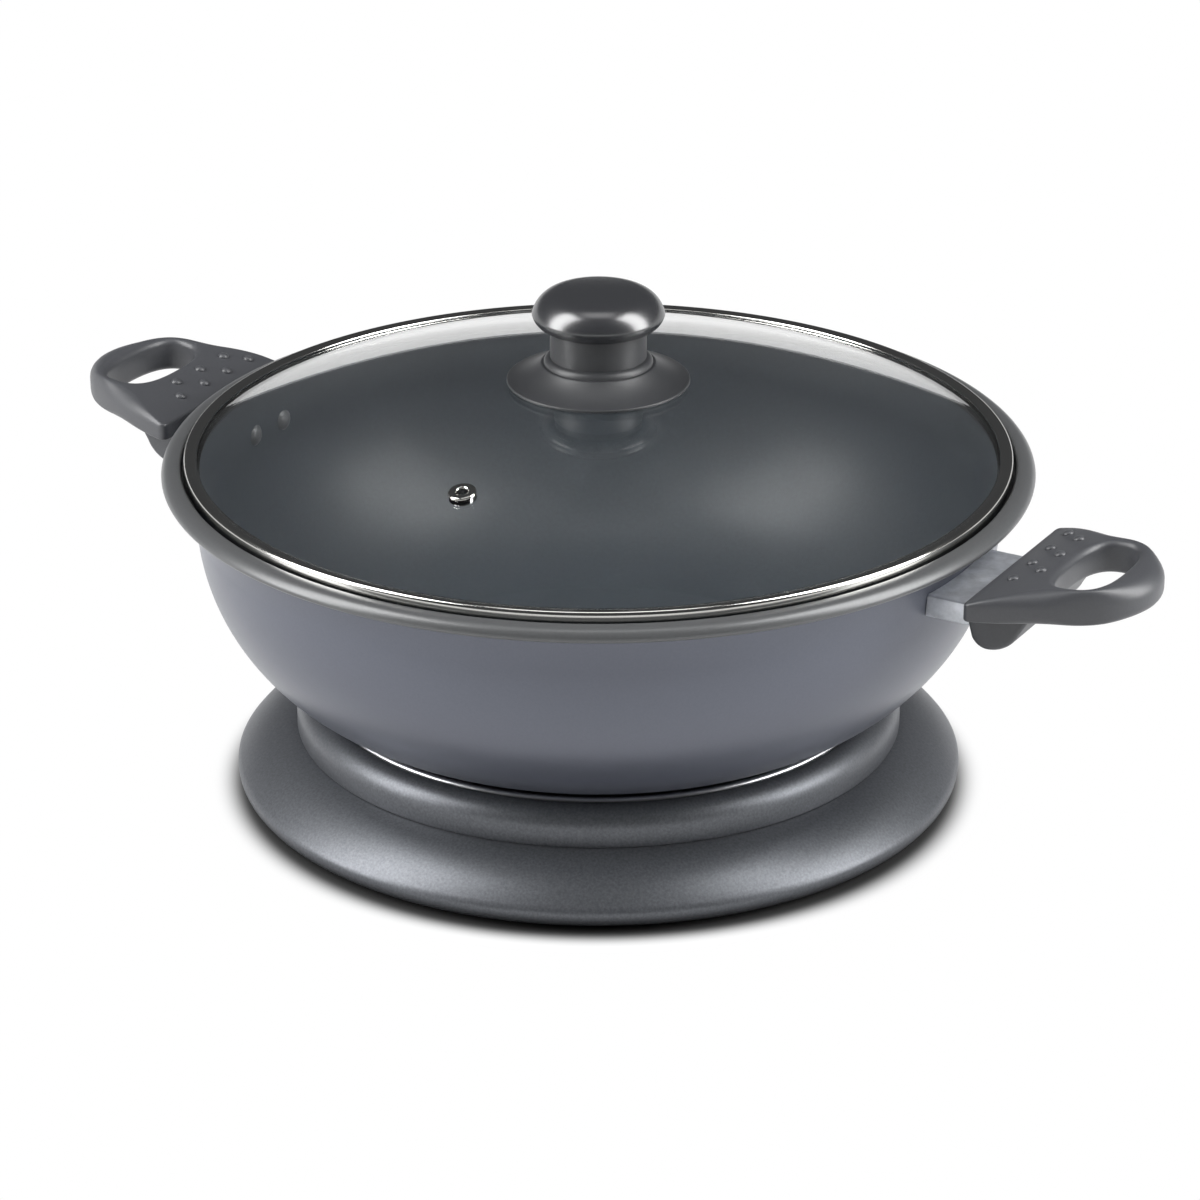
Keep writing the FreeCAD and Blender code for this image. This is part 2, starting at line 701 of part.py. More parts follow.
def make_hot_plate():
    """Cast plate: a channel underneath for the element and a boss at the rear for the probe."""
    body = new_body("hot_plate")
    revolve(body, "disc", [
        ("0", "plate_under"),
        ("plate_radius", "plate_under"),
        ("plate_radius", "plate_top - plate_chamfer"),
        ("plate_radius - plate_chamfer", "plate_top"),
        ("0", "plate_top"),
    ])
    boss = sketch_on(body, "boss", "XZ_Plane", "-probe_boss_end")
    circle(boss, "0", "plug_height", "probe_boss_radius")
    pad(body, "boss", boss, "probe_boss_length + plate_radius - element_circle + element_radius",
        Reversed=False)
    half = "element_radius + element_gap"
    revolve(body, "channel", [
        (f"element_circle - ({half})", "plate_under - probe_boss_radius"),
        (f"element_circle + {half}", "plate_under - probe_boss_radius"),
        (f"element_circle + {half}", f"plate_under + {half}"),
        (f"element_circle - ({half})", f"plate_under + {half}"),
    ], kind="Groove")
    leads = sketch_on(body, "lead_slots", "XY_Plane", "plate_under - probe_boss_radius")
    lead_side = f"bend_place * (element_circle + {half}) / (element_circle + element_bend)"
    for side in ("", "-"):
        rectangle(leads, f"{side}(pin_place - ({half}))", f"{side}({lead_side})", "ring_end_y",
                  "plate_radius + 1")
    pocket(body, "lead_slots", leads, f"probe_boss_radius + {half}", Reversed=True)
    bore = sketch_on(body, "probe_bore", "XZ_Plane", "-probe_bore_end")
    circle(bore, "0", "plug_height", "probe_radius + fit_gap")
    pocket(body, "probe_bore", bore, "probe_contact_length")
    taps = sketch_on(body, "taps", "XY_Plane", "plate_under")
    for x, y in bolt_places:
        circle(taps, x, y, "bolt_radius + 0.05")
    pocket(body, "taps", taps, "bolt_grip + 0.5", Reversed=True)


def make_element():
    """Sheathed heating element: a ring with two straight leads to the inlet."""
    body = new_body("heating_element")
    route = sketch_on(body, "route", "XY_Plane", "plug_height")
    outline(route, [
        ("pin_place", "lead_end"),
        ("pin_place", "bend_start", 1, "element_bend"),
        ("ring_end_x", "ring_end_y", -1, "element_circle"),
        ("0", "-element_circle", -1, "element_circle"),
        ("-ring_end_x", "ring_end_y", 1, "element_bend"),
        ("-pin_place", "bend_start"),
        ("-pin_place", "lead_end"),
    ], closed=False)
    section = sketch_on(body, "section", "XZ_Plane", "-lead_end")
    circle(section, "pin_place", "plug_height", "element_radius")
    tube = feature(body, "AdditivePipe", "tube", section)
    tube.Spine = route


def make_rods(label, start, end, radius, bore=None):
    """Two rods or tubes along Y, on the pins' places."""
    body = new_body(label)
    sketch = sketch_on(body, "section", "XZ_Plane", f"-({start})")
    for x, z in pin_places:
        circle(sketch, x, z, radius)
        if bore:
            circle(sketch, x, z, bore)
    pad(body, "rods", sketch, f"{end} - ({start})", Reversed=True)


def make_spacers(label, start, length):
    body = new_body(label)
    sketch = sketch_on(body, "section", "XY_Plane", start)
    for x, y in bolt_places:
        circle(sketch, x, y, "spacer_radius")
        circle(sketch, x, y, "bolt_radius + hole_clearance")
    pad(body, "tubes", sketch, length)


def make_fuse():
    """Thermal cut-out under the hot plate, and the sheet clip that holds it there."""
    fuse = new_body("thermal_fuse")
    section = sketch_on(fuse, "section", "YZ_Plane", "-fuse_length / 2")
    circle(section, "0", "plate_under - fuse_radius - seam_gap", "fuse_radius")
    pad(fuse, "barrel", section, "fuse_length")
    clip = new_body("fuse_clip")
    profile = sketch_on(clip, "profile", "YZ_Plane", "-clip_width / 2")
    under = "plate_under - 2 * fuse_radius - 2 * seam_gap"
    side = "fuse_radius + seam_gap"
    outline(profile, [
        (f"-({side}) - clip_wall", "plate_under"),
        (f"-({side}) - clip_wall", f"{under} - clip_wall"),
        (f"{side} + clip_wall", f"{under} - clip_wall"),
        (f"{side} + clip_wall", "plate_under - clip_wall"),
        (f"{side} + clip_wall + 11", "plate_under - clip_wall"),
        (f"{side} + clip_wall + 11", "plate_under"),
        (side, "plate_under"),
        (side, under),
        (f"-({side})", under),
        (f"-({side})", "plate_under"),
    ])
    pad(clip, "strip", profile, "clip_width")


def make_socket():
    """The moulded inlet that takes the control's plug, with an ear on each side."""
    body = new_body("inlet_socket")
    low, high = "plug_height - socket_half_height", "plug_height + socket_half_height"
    block = sketch_on(body, "block", "XZ_Plane", "-socket_start")
    rectangle(block, "-socket_half_width", "socket_half_width", low, high)
    pad(body, "block", block, "socket_end - socket_start", Reversed=True)
    ears = sketch_on(body, "ears", "XZ_Plane", "-socket_start")
    rectangle(ears, "-socket_half_width - ear_width", "socket_half_width + ear_width",
              "shelf_under - ear_wall", "shelf_under")
    pad(body, "ears", ears, "ear_depth", Reversed=True)
    cavity = sketch_on(body, "cavity", "XZ_Plane", "-socket_floor")
    rectangle(cavity, "-socket_half_width + socket_wall", "socket_half_width - socket_wall",
              f"{low} + socket_wall", f"{high} - socket_wall")
    pocket(body, "cavity", cavity, "socket_end - socket_floor")
    holes = sketch_on(body, "back_holes", "XZ_Plane", "-socket_start")
    for x, z in pin_places:
        circle(holes, x, z, "pin_radius + 0.05")
    circle(holes, "0", "plug_height", "probe_radius + 2 * fit_gap")
    pocket(body, "back_holes", holes, "socket_back")
    screws = sketch_on(body, "ear_holes", "XY_Plane", "shelf_under - ear_wall")
    for x, y in ear_places:
        circle(screws, x, y, "screw_radius + hole_clearance")
    pocket(body, "ear_holes", screws, "ear_wall", Reversed=True)


# Pan, brackets and handles

def make_pan():
    """The cast pan: flat bottom with a foot ring, round belly, seat for the lid, rolled flange."""
    body = new_body("pan_shell")
    ring = "flat_radius - foot_ring_width"
    revolve(body, "wall", [
        ("0", "plate_top"),
        (ring, "plate_top"),
        (ring, "plate_top - foot_ring_height"),
        ("flat_radius", "plate_top - foot_ring_height"),
        ("flat_radius", "plate_top", 1, "belly_radius"),
        ("wall_radius", "belly_height"),
        ("neck_radius", "neck_height"),
        ("flange_radius - 2.2", "flange_top - flange_drop - 2", 1, "2.6"),
        ("flange_radius", "flange_top - flange_drop", 1, "flange_round"),
        ("flange_radius - 4", "flange_top"),
        ("seat_radius + 0.8", "flange_top", 1, "0.8"),
        ("seat_radius", "flange_top - 0.8"),
        ("seat_radius", "seat_height"),
        ("throat_radius", "seat_height"),
        ("wall_radius - pan_wall", "belly_height", -1, "inner_belly"),
        ("floor_radius", "floor_height"),
        ("0", "floor_height"),
    ])
    round_edges(body, "floor_corner", "floor_round",
                lambda edge: at_height(edge, "floor_height") and near(edge.BoundBox.XMax, "floor_radius"))
    drill_for_rivets(body)


def drill_for_rivets(body):
    """Radial holes for a pair of rivets on each side of the pan's axis."""
    for name, sign in (("near", "-"), ("far", "")):
        sketch = sketch_on(body, f"rivet_{name}", "YZ_Plane")
        circle(sketch, "0", "rivet_height", "rivet_radius + 0.05")
        bind(sketch, "AttachmentOffset",
             f"placement(vector(0; 0; 0); rotation(vector(0; 1; 0); {sign}rivet_angle))")
        pocket(body, f"rivet_{name}", sketch, "2 * handle_tip", Midplane=True)


def make_bracket(label, angle):
    """Pressed steel socket, riveted to the pan's wall and open towards the handle."""
    body = new_body(label)
    block = sketch_on(body, "block", "XY_Plane", "bracket_under")
    rectangle(block, "wall_radius - 10", "bracket_end", "-bracket_half_width", "bracket_half_width")
    pad(body, "block", block, "bracket_height")
    hollow = sketch_on(body, "hollow", "YZ_Plane", "bracket_end")
    rectangle(hollow, "-bracket_half_width + bracket_wall", "bracket_half_width - bracket_wall",
              "bracket_under + bracket_wall", "bracket_top - bracket_wall")
    pocket(body, "hollow", hollow, "bracket_end - bracket_back")
    lower = "flat_radius + sqrt(belly_radius ^ 2 - (belly_height - bracket_under) ^ 2) + seam_gap"
    upper = "wall_radius + flare * (bracket_top - belly_height) / (neck_height - belly_height) + seam_gap"
    revolve(body, "wall_cut", [
        ("0", "bracket_under - 1"),
        (lower, "bracket_under - 1"),
        (lower, "bracket_under"),
        (upper, "bracket_top"),
        (upper, "bracket_top + 1"),
        ("0", "bracket_top + 1"),
    ], kind="Groove")
    round_edges(body, "folds", "bracket_wall / 2", lambda edge: (
        edge.BoundBox.XLength > 5 and edge.BoundBox.YLength < 0.01
        and near(abs(edge.CenterOfMass.y), "bracket_half_width")))
    drill_for_rivets(body)
    screw = sketch_on(body, "screw_hole", "XY_Plane", "bracket_under")
    circle(screw, "handle_screw_place", "0", "handle_screw_radius + hole_clearance")
    pocket(body, "screw_hole", screw, "bracket_height", Reversed=True)
    place(body, angle=angle)


def make_rivets(label, angle):
    """The pair of rivets that holds one bracket, each along its own radius of the pan."""
    body = new_body(label)
    sketch = sketch_on(body, "section", "XZ_Plane")
    inner = "flat_radius + sqrt(inner_belly ^ 2 - (belly_height - rivet_height) ^ 2) - 2 * seam_gap"
    outer = "bracket_back / cos(rivet_angle) + rivet_tail_radius * tan(rivet_angle) + seam_gap / 2"
    head_dome = "(rivet_head_radius ^ 2 + rivet_head_height ^ 2) / (2 * rivet_head_height)"
    tail_dome = "(rivet_tail_radius ^ 2 + rivet_tail_height ^ 2) / (2 * rivet_tail_height)"
    outline(sketch, [
        (f"{inner} - rivet_head_height", "0"),
        (f"{outer} + rivet_tail_height", "0", 1, tail_dome),
        (outer, "rivet_tail_radius"),
        (outer, "rivet_radius"),
        (inner, "rivet_radius"),
        (inner, "rivet_head_radius", 1, head_dome),
    ])
    rivet = feature(body, "Revolution", "rivet", sketch, Angle=360)
    rivet.ReferenceAxis = (sketch, ["H_Axis"])
    pair = body.newObject("PartDesign::PolarPattern", f"{label}_pair")
    pair.Originals = [rivet]
    pair.Axis = (origin_of(body, "Z_Axis"), [""])
    pair.Occurrences = 2
    bind(pair, "Angle", "2 * rivet_angle")
    body.Tip = pair
    place(body, z="rivet_height", angle=f"{angle} deg - rivet_angle")


def make_handle(label, angle):
    """Moulded handle: a broad grip plate with an oval hole, and a boss that holds the bracket."""
    body = new_body(label)
    # The broad fin under the inner end, rounded below and sloping away on its outer side
    boss = sketch_on(body, "boss", "XZ_Plane")
    outline(boss, [
        ("boss_start", "handle_under + 2"),
        ("boss_start", "boss_under + boss_round", 1, "boss_round"),
        ("boss_start + boss_round", "boss_under"),
        ("boss_end - boss_slope", "boss_under"),
        ("boss_end", "handle_under + 2"),
    ])
    pad(body, "boss", boss, "2 * boss_half_width", Midplane=True)
    round_edges(body, "boss_edges", "boss_side_round", lambda edge: (
        near(abs(edge.CenterOfMass.y), "boss_half_width") and not at_height(edge, "handle_under + 2")))
    # The grip plate: its side view with an arched top, then its plan cut out of it
    side = sketch_on(body, "side", "XZ_Plane")
    outline(side, [
        ("handle_start", "handle_under"),
        ("handle_tip + 1", "handle_crest - tip_thickness"),
        ("handle_tip + 1", "handle_crest", 1, "handle_arch"),
        ("handle_start", "handle_over"),
    ])
    pad(body, "side", side, "2 * handle_half_width", Midplane=True)
    plan = sketch_on(body, "plan", "XY_Plane", "handle_under - tip_thickness")
    rectangle(plan, "handle_start - 10", "handle_tip + 5", "-handle_half_width - 5", "handle_half_width + 5")
    boss_side = "boss_half_width + 1"
    outline(plan, [
        ("boss_start - 1", boss_side),
        ("boss_start - 1", f"-({boss_side})"),
        ("handle_start", f"-({boss_side})"),
        ("handle_start", "-handle_half_width", 1, "side_bow"),
        ("handle_tip - tip_depth", "-tip_half_width", 1, "tip_radius"),
        ("handle_tip", "0", 1, "tip_radius"),
        ("handle_tip - tip_depth", "tip_half_width", 1, "side_bow"),
        ("handle_start", "handle_half_width"),
        ("handle_start", boss_side),
    ])
    pocket(body, "plan", plan, "3 * tip_thickness", Reversed=True)
    hole = sketch_on(body, "grip_hole", "XY_Plane", "handle_under - tip_thickness")
    left, right = "grip_hole_x - grip_join_x", "grip_hole_x + grip_join_x"
    front, back = "grip_hole_half_length", "-grip_hole_half_length"
    outline(hole, [
        (right, "-grip_join_y", 1, "grip_flank"),
        (right, "grip_join_y", 1, "grip_hole_end_radius"),
        ("grip_hole_x", front, 1, "grip_hole_end_radius"),
        (left, "grip_join_y", 1, "grip_flank"),
        (left, "-grip_join_y", 1, "grip_hole_end_radius"),
        ("grip_hole_x", back, 1, "grip_hole_end_radius"),
    ])
    pocket(body, "grip_hole", hole, "3 * tip_thickness", Reversed=True)

    def follows(drawn):
        """A test for the edges above or below a sketch's outline, the upright ones left out."""
        def test(edge):
            middle = edge.valueAt((edge.FirstParameter + edge.LastParameter) / 2)
            level = FreeCAD.Vector(middle.x, middle.y, drawn.Placement.Base.z)
            upright = edge.BoundBox.XLength + edge.BoundBox.YLength < 0.1
            on_top = middle.z > number("handle_over") - 0.1
            beyond_start = middle.x > number("handle_start") + 1
            on_outline = Part.Vertex(level).distToShape(drawn.Shape)[0] < 0.02
            return on_outline and not upright and (on_top or beyond_start)
        return test

    round_edges(body, "rims", "handle_edge_round", follows(plan))
    round_edges(body, "grip_edges", "grip_edge_round", follows(hole))
    # The slot for the bracket and the screw that holds it
    slot = sketch_on(body, "slot", "YZ_Plane", "boss_start - 1")
    slot_side = "bracket_half_width + hole_clearance"
    rectangle(slot, f"-({slot_side})", slot_side, "boss_top", "handle_under")
    pocket(body, "slot", slot, "bracket_end + hole_clearance - boss_start + 1", Reversed=True)
    seat_depth = "handle_screw_recess + handle_screw_head_height"
    bore_depth = "handle_under - boss_under + handle_screw_bite + 0.5"
    for name, radius, depth in (("screw_seat", "handle_screw_head + hole_clearance", seat_depth),
                                ("screw_bore", "handle_screw_radius + 0.05", bore_depth)):
        bore = sketch_on(body, name, "XY_Plane", "boss_under")
        circle(bore, "handle_screw_place", "0", radius)
        pocket(body, name, bore, depth, Reversed=True)
    place(body, angle=angle)


# Lid and knob

def make_glass():
    body = new_body("lid_glass")
    revolve(body, "dome", [
        ("0", "dome_under", -1, "dome_under_radius"),
        ("glass_radius", "glass_edge_under"),
        ("glass_radius", "glass_edge_top", 1, "dome_radius"),
        ("0", "dome_top"),
    ])
    holes = sketch_on(body, "holes", "XY_Plane", "seat_height")
    circle(holes, "0", "0", "knob_screw_radius + 6 * hole_clearance")
    circle(holes, "0", "-vent_place", "vent_bore + vent_tube_wall + 6 * hole_clearance")
    pocket(body, "holes", holes, "dome_radius / 4", Reversed=True)


def make_rim_ring():
    """Rolled steel channel round the edge of the glass."""
    body = new_body("lid_rim_ring")
    inside = "ring_radius - rim_ring_wall"
    revolve(body, "channel", [
        ("ring_bore", "seat_height"),
        ("ring_radius - 0.8", "seat_height", 1, "0.8"),
        ("ring_radius", "seat_height + 0.8"),
        ("ring_radius", "ring_crown - rim_round", 1, "rim_round"),
        ("ring_radius - rim_round", "ring_crown"),
        ("ring_lip_radius + 0.4", "ring_lip_height + rim_ring_wall"),
        ("ring_lip_radius", "ring_lip_height"),
        (inside, "ring_lip_height"),
        (inside, "seat_height + rim_ring_wall"),
        ("ring_bore", "seat_height + rim_ring_wall"),
    ])


def make_grommet():
    """Steam vent: an eyelet rolled over both faces of the glass, square to the dome."""
    body = new_body("steam_vent_grommet")
    tube = "vent_bore + vent_tube_wall"
    low = "-glass_thickness - seam_gap / 2"
    revolve(body, "eyelet", [
        ("vent_bore", f"{low} - vent_flange_wall"),
        (f"{tube} + 1.6", f"{low} - vent_flange_wall"),
        (f"{tube} + 1.6", low),
        (tube, low),
        (tube, "seam_gap / 2"),
        ("vent_flange_radius", "seam_gap / 2", 1, "vent_flange_wall"),
        ("vent_flange_radius - vent_flange_wall", "seam_gap / 2 + vent_flange_wall"),
        ("vent_bore + vent_flange_wall", "seam_gap / 2 + vent_flange_wall", 1, "vent_flange_wall"),
        ("vent_bore", "seam_gap / 2"),
    ])
    place(body, "0", "-vent_place", "dome_centre + sqrt(dome_radius ^ 2 - vent_place ^ 2)",
          "1; 0; 0", "vent_tilt")


def make_knob():
    """The mushroom grip and the flared skirt below it."""
    knob = new_body("lid_knob")
    crown = "knob_crown_sweep - sqrt(knob_crown_sweep ^ 2 - knob_crown_radius ^ 2)"
    revolve(knob, "grip", [
        ("0", "knob_skirt_top"),
        ("knob_step_radius", "knob_skirt_top", 1, "knob_step_radius - knob_neck_radius"),
        ("knob_neck_radius", "knob_neck_start"),
        ("knob_neck_radius", "knob_neck_end", 1, "knob_under_sweep"),
        ("knob_radius", "knob_widest", 1, "knob_cap_sweep"),
        ("knob_crown_radius", "knob_top", 1, "knob_crown_sweep"),
        ("0", f"knob_top + {crown}"),
    ])
    bore = sketch_on(knob, "bore", "XY_Plane", "knob_skirt_top")
    circle(bore, "0", "0", "knob_screw_radius + 0.05")
    pocket(knob, "bore", bore, "washer_under + knob_screw_length + 0.5 - knob_skirt_top", Reversed=True)
    skirt = new_body("knob_skirt")
    edge = "knob_skirt_radius - knob_skirt_edge"
    revolve(skirt, "disc", [
        ("0", "gasket_top"),
        ("gasket_radius", "gasket_top"),
        ("gasket_radius", "gasket_top + 2 * knob_skirt_edge"),
        (edge, "knob_skirt_under + knob_skirt_edge / 2"),
        (edge, "knob_skirt_under"),
        ("knob_skirt_radius", "knob_skirt_under"),
        ("knob_skirt_radius", "knob_skirt_under + knob_skirt_edge", -1, "knob_skirt_sweep"),
        ("knob_step_radius + 1", "knob_skirt_top"),
        ("0", "knob_skirt_top"),
    ])
    hole = sketch_on(skirt, "hole", "XY_Plane", "gasket_top")
    circle(hole, "0", "0", "knob_screw_radius + hole_clearance")
    pocket(skirt, "hole", hole, "knob_skirt_top - gasket_top", Reversed=True)


def make_washer(label, under, thickness, radius, bore):
    body = new_body(label)
    sketch = sketch_on(body, "section", "XY_Plane", under)
    circle(sketch, "0", "0", radius)
    circle(sketch, "0", "0", bore)
    pad(body, "disc", sketch, thickness)


# Thermostat control and its dial

def rounded_plan(sketch, half_width, start, end, corner):
    """A rectangle with round corners, symmetric about the sketch's Y axis."""
    left, right = f"-({half_width})", f"{half_width}"
    outline(sketch, [
        (f"{left} + {corner}", start),
        (f"{right} - {corner}", start, 1, corner),
        (right, f"{start} + {corner}"),
        (right, f"{end} - {corner}", 1, corner),
        (f"{right} - {corner}", end),
        (f"{left} + {corner}", end, 1, corner),
        (left, f"{end} - {corner}"),
        (left, f"{start} + {corner}", 1, corner),
    ])


post_x = "(control_half_width - control_post_inset)"
control_posts = [(sign + post_x, y) for sign in ("", "-")
                 for y in ("block_end + control_post_radius + 1", "control_end - control_post_inset")]


def make_shell(label, upward):
    """Half of the control's housing, from the parting face through the plug's middle."""
    body = new_body(label)
    height = "control_top" if upward else "control_bottom"
    outside = sketch_on(body, "outside", "XY_Plane", "plug_height")
    rounded_plan(outside, "control_half_width", "control_start", "control_end", "control_corner")
    pad(body, "outside", outside, height, Reversed=not upward)
    face = "shell_over" if upward else "shell_under"
    round_edges(body, "edges", "control_edge_round", lambda edge: at_height(edge, face))
    inside = sketch_on(body, "inside", "XY_Plane", "plug_height")
    rounded_plan(inside, "control_half_width - control_wall", "(control_start + control_wall)",
                 "(control_end - control_wall)", "(control_corner - control_wall)")
    pocket(body, "inside", inside, f"{height} - control_wall", Reversed=upward)
    posts = sketch_on(body, "posts", "XY_Plane", "plug_height")
    for x, y in control_posts:
        circle(posts, x, y, "control_post_radius")
    pad(body, "posts", posts, f"{height} - control_wall / 2", Reversed=not upward)
    for name, start, radius, depth in (
            ("bores", "plug_height", "screw_radius + 0.05", "control_screw_bite + 0.5" if upward else height),
            ("seats", face, "screw_head_radius - 0.5 + hole_clearance", "control_screw_recess")):
        if name == "seats" and upward:
            continue
        bore = sketch_on(body, name, "XY_Plane", start)
        for x, y in control_posts:
            circle(bore, x, y, radius)
        pocket(body, name, bore, depth, Reversed=upward or name == "seats")
    mouth = sketch_on(body, "plug_opening", "XZ_Plane", "-control_start + 1")
    reach = "nose_half_width + seam_gap"
    rectangle(mouth, f"-({reach})", reach, "plug_height - nose_half_height - seam_gap",
              "plug_height + nose_half_height + seam_gap")
    pocket(body, "plug_opening", mouth, "control_corner + 1")
    cord = sketch_on(body, "cord_hole", "XZ_Plane", "-control_end + control_wall + 1")
    circle(cord, "0", "plug_height", "cord_hole_radius")
    pocket(body, "cord_hole", cord, "control_wall + 2")
    if upward:
        top = sketch_on(body, "top_holes", "XY_Plane", "shell_ceiling - 1")
        circle(top, "0", "dial_place", "spindle_radius + spindle_gap")
        circle(top, "0", "lamp_place", "lamp_radius + spindle_gap")
        pocket(body, "top_holes", top, "control_wall + 2", Reversed=True)


def make_plug_block():
    """The insulating nose that enters the inlet, bored for the contacts and the probe."""
    body = new_body("plug_block")
    sketch = sketch_on(body, "block", "XZ_Plane", "-nose_start")
    rectangle(sketch, "-nose_half_width", "nose_half_width", "plug_height - nose_half_height",
              "plug_height + nose_half_height")
    pad(body, "block", sketch, "block_end - nose_start", Reversed=True)
    for name, places, radius, depth in (
            ("contact_bores", pin_places, "sleeve_radius + 0.05", "pin_reach + 2"),
            ("probe_bore", [("0", "plug_height")], "probe_radius + 0.05", "block_end - nose_start")):
        bore = sketch_on(body, name, "XZ_Plane", "-nose_start")
        for x, z in places:
            circle(bore, x, z, radius)
        pocket(body, name, bore, depth)


def make_probe():
    body = new_body("probe_rod")
    sketch = sketch_on(body, "section", "XZ_Plane", "-probe_start")
    circle(sketch, "0", "plug_height", "probe_radius")
    pad(body, "rod", sketch, "block_end + 2 - probe_start", Reversed=True)
    round_edges(body, "tip", "probe_radius - 0.8", lambda edge: (
        edge.BoundBox.YMax < number("probe_start") + 0.01))


def make_lamp():
    lens = new_body("pilot_lamp_lens")
    revolve(lens, "lens", [
        ("0", "shell_ceiling - lamp_flange"),
        ("lamp_radius + 1", "shell_ceiling - lamp_flange"),
        ("lamp_radius + 1", "shell_ceiling"),
        ("lamp_radius", "shell_ceiling"),
        ("lamp_radius", "shell_over + lamp_proud / 2"),
        ("lamp_radius - lamp_proud", "shell_over + lamp_proud"),
        ("0", "shell_over + lamp_proud"),
    ])
    place(lens, y="lamp_place")
    bulb = new_body("pilot_lamp")
    sketch = sketch_on(bulb, "section", "XY_Plane", "shell_ceiling - lamp_flange - bulb_length")
    circle(sketch, "0", "lamp_place", "bulb_radius")
    pad(bulb, "bulb", sketch, "bulb_length")


def make_switch():
    """The thermostat's switch block, hung under the lid of the control around the spindle."""
    body = new_body("thermostat_switch")
    block = sketch_on(body, "block", "XY_Plane", "shell_ceiling - switch_height")
    rectangle(block, "-switch_half_width", "switch_half_width", "dial_place - switch_half_length",
              "dial_place + switch_half_length")
    pad(body, "block", block, "switch_height")
    bore = sketch_on(body, "bore", "XY_Plane", "shell_ceiling - spindle_depth - 0.5")
    circle(bore, "0", "dial_place", "spindle_radius + spindle_gap")
    pocket(body, "bore", bore, "spindle_depth + 0.5", Reversed=True)


def make_dial():
    """Fluted temperature dial with a pointer ridge, and the spindle it turns."""
    dial = new_body("temperature_dial")
    revolve(dial, "cup", [
        ("0", "dial_under + 1"),
        ("dial_hub_radius", "dial_under + 1"),
        ("dial_hub_radius", "dial_top - dial_wall"),
        ("dial_radius - dial_wall - 1.5", "dial_top - dial_wall"),
        ("dial_radius - dial_wall", "dial_under"),
        ("dial_radius", "dial_under"),
        ("dial_radius - 1", "dial_top - 1.5", 1, "1.5"),
        ("dial_radius - 2.5", "dial_top"),
        ("0", "dial_top"),
    ])
    flute = sketch_on(dial, "flute", "XY_Plane", "dial_under + 2")
    circle(flute, "dial_radius + dial_flute_radius / 2", "0", "dial_flute_radius")
    cut = pocket(dial, "flute", flute, "dial_height", Reversed=True)
    pattern(dial, "flutes", cut, "dial_flutes")
    pointer = sketch_on(dial, "pointer", "XY_Plane", "dial_top - dial_wall / 2")
    rectangle(pointer, "-1.2", "1.2", "-dial_radius + 3", "-dial_radius / 4")
    pad(dial, "pointer", pointer, "dial_wall / 2 + 0.8")
    bore = sketch_on(dial, "bore", "XY_Plane", "dial_under + 1")
    circle(bore, "0", "0", "spindle_radius + spindle_gap")
    pocket(dial, "bore", bore, "spindle_grip", Reversed=True)
    place(dial, y="dial_place")
    spindle = new_body("dial_spindle")
    sketch = sketch_on(spindle, "section", "XY_Plane", "shell_ceiling - spindle_depth")
    circle(sketch, "0", "dial_place", "spindle_radius")
    pad(spindle, "shaft", sketch, "dial_under + 1 + spindle_grip - shell_ceiling + spindle_depth")


for index, (x, y) in enumerate(foot_places, start=1):
    make_foot(f"rubber_foot_{index}", x, y)
make_bottom_plate()
make_skirt()
make_collar()
fasteners("base_screws", post_places, "foot_height - screw_head_height", "foot_height",
          "screw_head_radius", "foot_height + screw_length", "screw_radius")
make_reflector()
make_hot_plate()
make_element()
make_rods("element_seals", "lead_end", "socket_start - 1", "pin_radius + seal_wall", "pin_radius")
make_rods("terminal_pins", "lead_end", "socket_floor + pin_reach", "pin_radius")
make_spacers("lower_spacers", "bottom_top", "lower_spacer")
make_spacers("upper_spacers", "reflector_floor", "upper_spacer")
fasteners("plate_bolts", bolt_places, "foot_height - screw_head_height", "foot_height",
          "bolt_head_radius", "plate_under + bolt_grip", "bolt_radius")
make_fuse()
make_socket()
fasteners("inlet_screws", ear_places, "shelf_under - ear_wall - screw_head_height", "shelf_under - ear_wall",
          "screw_head_radius", "skirt_top - 0.2", "screw_radius")
make_pan()
for side, angle in (("right", "0"), ("left", "180")):
    make_bracket(f"handle_bracket_{side}", angle)
    make_rivets(f"bracket_rivets_{side}", angle)
    make_handle(f"handle_{side}", angle)
fasteners("handle_screws", [("handle_screw_place", "0"), ("-handle_screw_place", "0")],
          "boss_under + handle_screw_recess", "boss_under + handle_screw_recess + handle_screw_head_height",
          "handle_screw_head", "handle_under + handle_screw_bite", "handle_screw_radius")
make_glass()
make_rim_ring()
make_grommet()
make_knob()
make_washer("knob_gasket", "gasket_under", "gasket_thickness", "gasket_radius", "knob_screw_radius + 0.4")
make_washer("knob_washer", "washer_under", "washer_thickness", "washer_radius", "knob_screw_radius + 0.2")
fasteners("knob_screw", [("0", "0")], "washer_under - knob_screw_head_height", "washer_under",
          "knob_screw_head_radius", "washer_under + knob_screw_length", "knob_screw_radius")
make_shell("control_shell_top", True)
make_shell("control_shell_bottom", False)
make_plug_block()
make_probe()
make_rods("contact_sleeves", "nose_start + 1", "nose_start + pin_reach + 1", "sleeve_radius", "sleeve_bore")
fasteners("control_screws", control_posts, "shell_under + control_screw_recess - screw_head_height",
          "shell_under + control_screw_recess", "screw_head_radius - 0.5", "plug_height + control_screw_bite",
          "screw_radius")
make_lamp()
make_switch()
make_dial()
doc.recompute()

for thing in doc.Objects:
    if "Invalid" in thing.State or "Error" in thing.State:
        raise RuntimeError(f"{thing.Label} is in state {thing.State}")
os.makedirs("parts", exist_ok=True)
for body in pieces:
    if body.Shape.isNull() or not body.Shape.isValid():
        raise RuntimeError(f"{body.Label} has no valid shape")
    body.Shape.exportStep(f"parts/{body.Label}.step")
    print(f"{body.Label}: {len(body.Shape.Solids)} solids, {body.Shape.Volume:.0f} mm3")
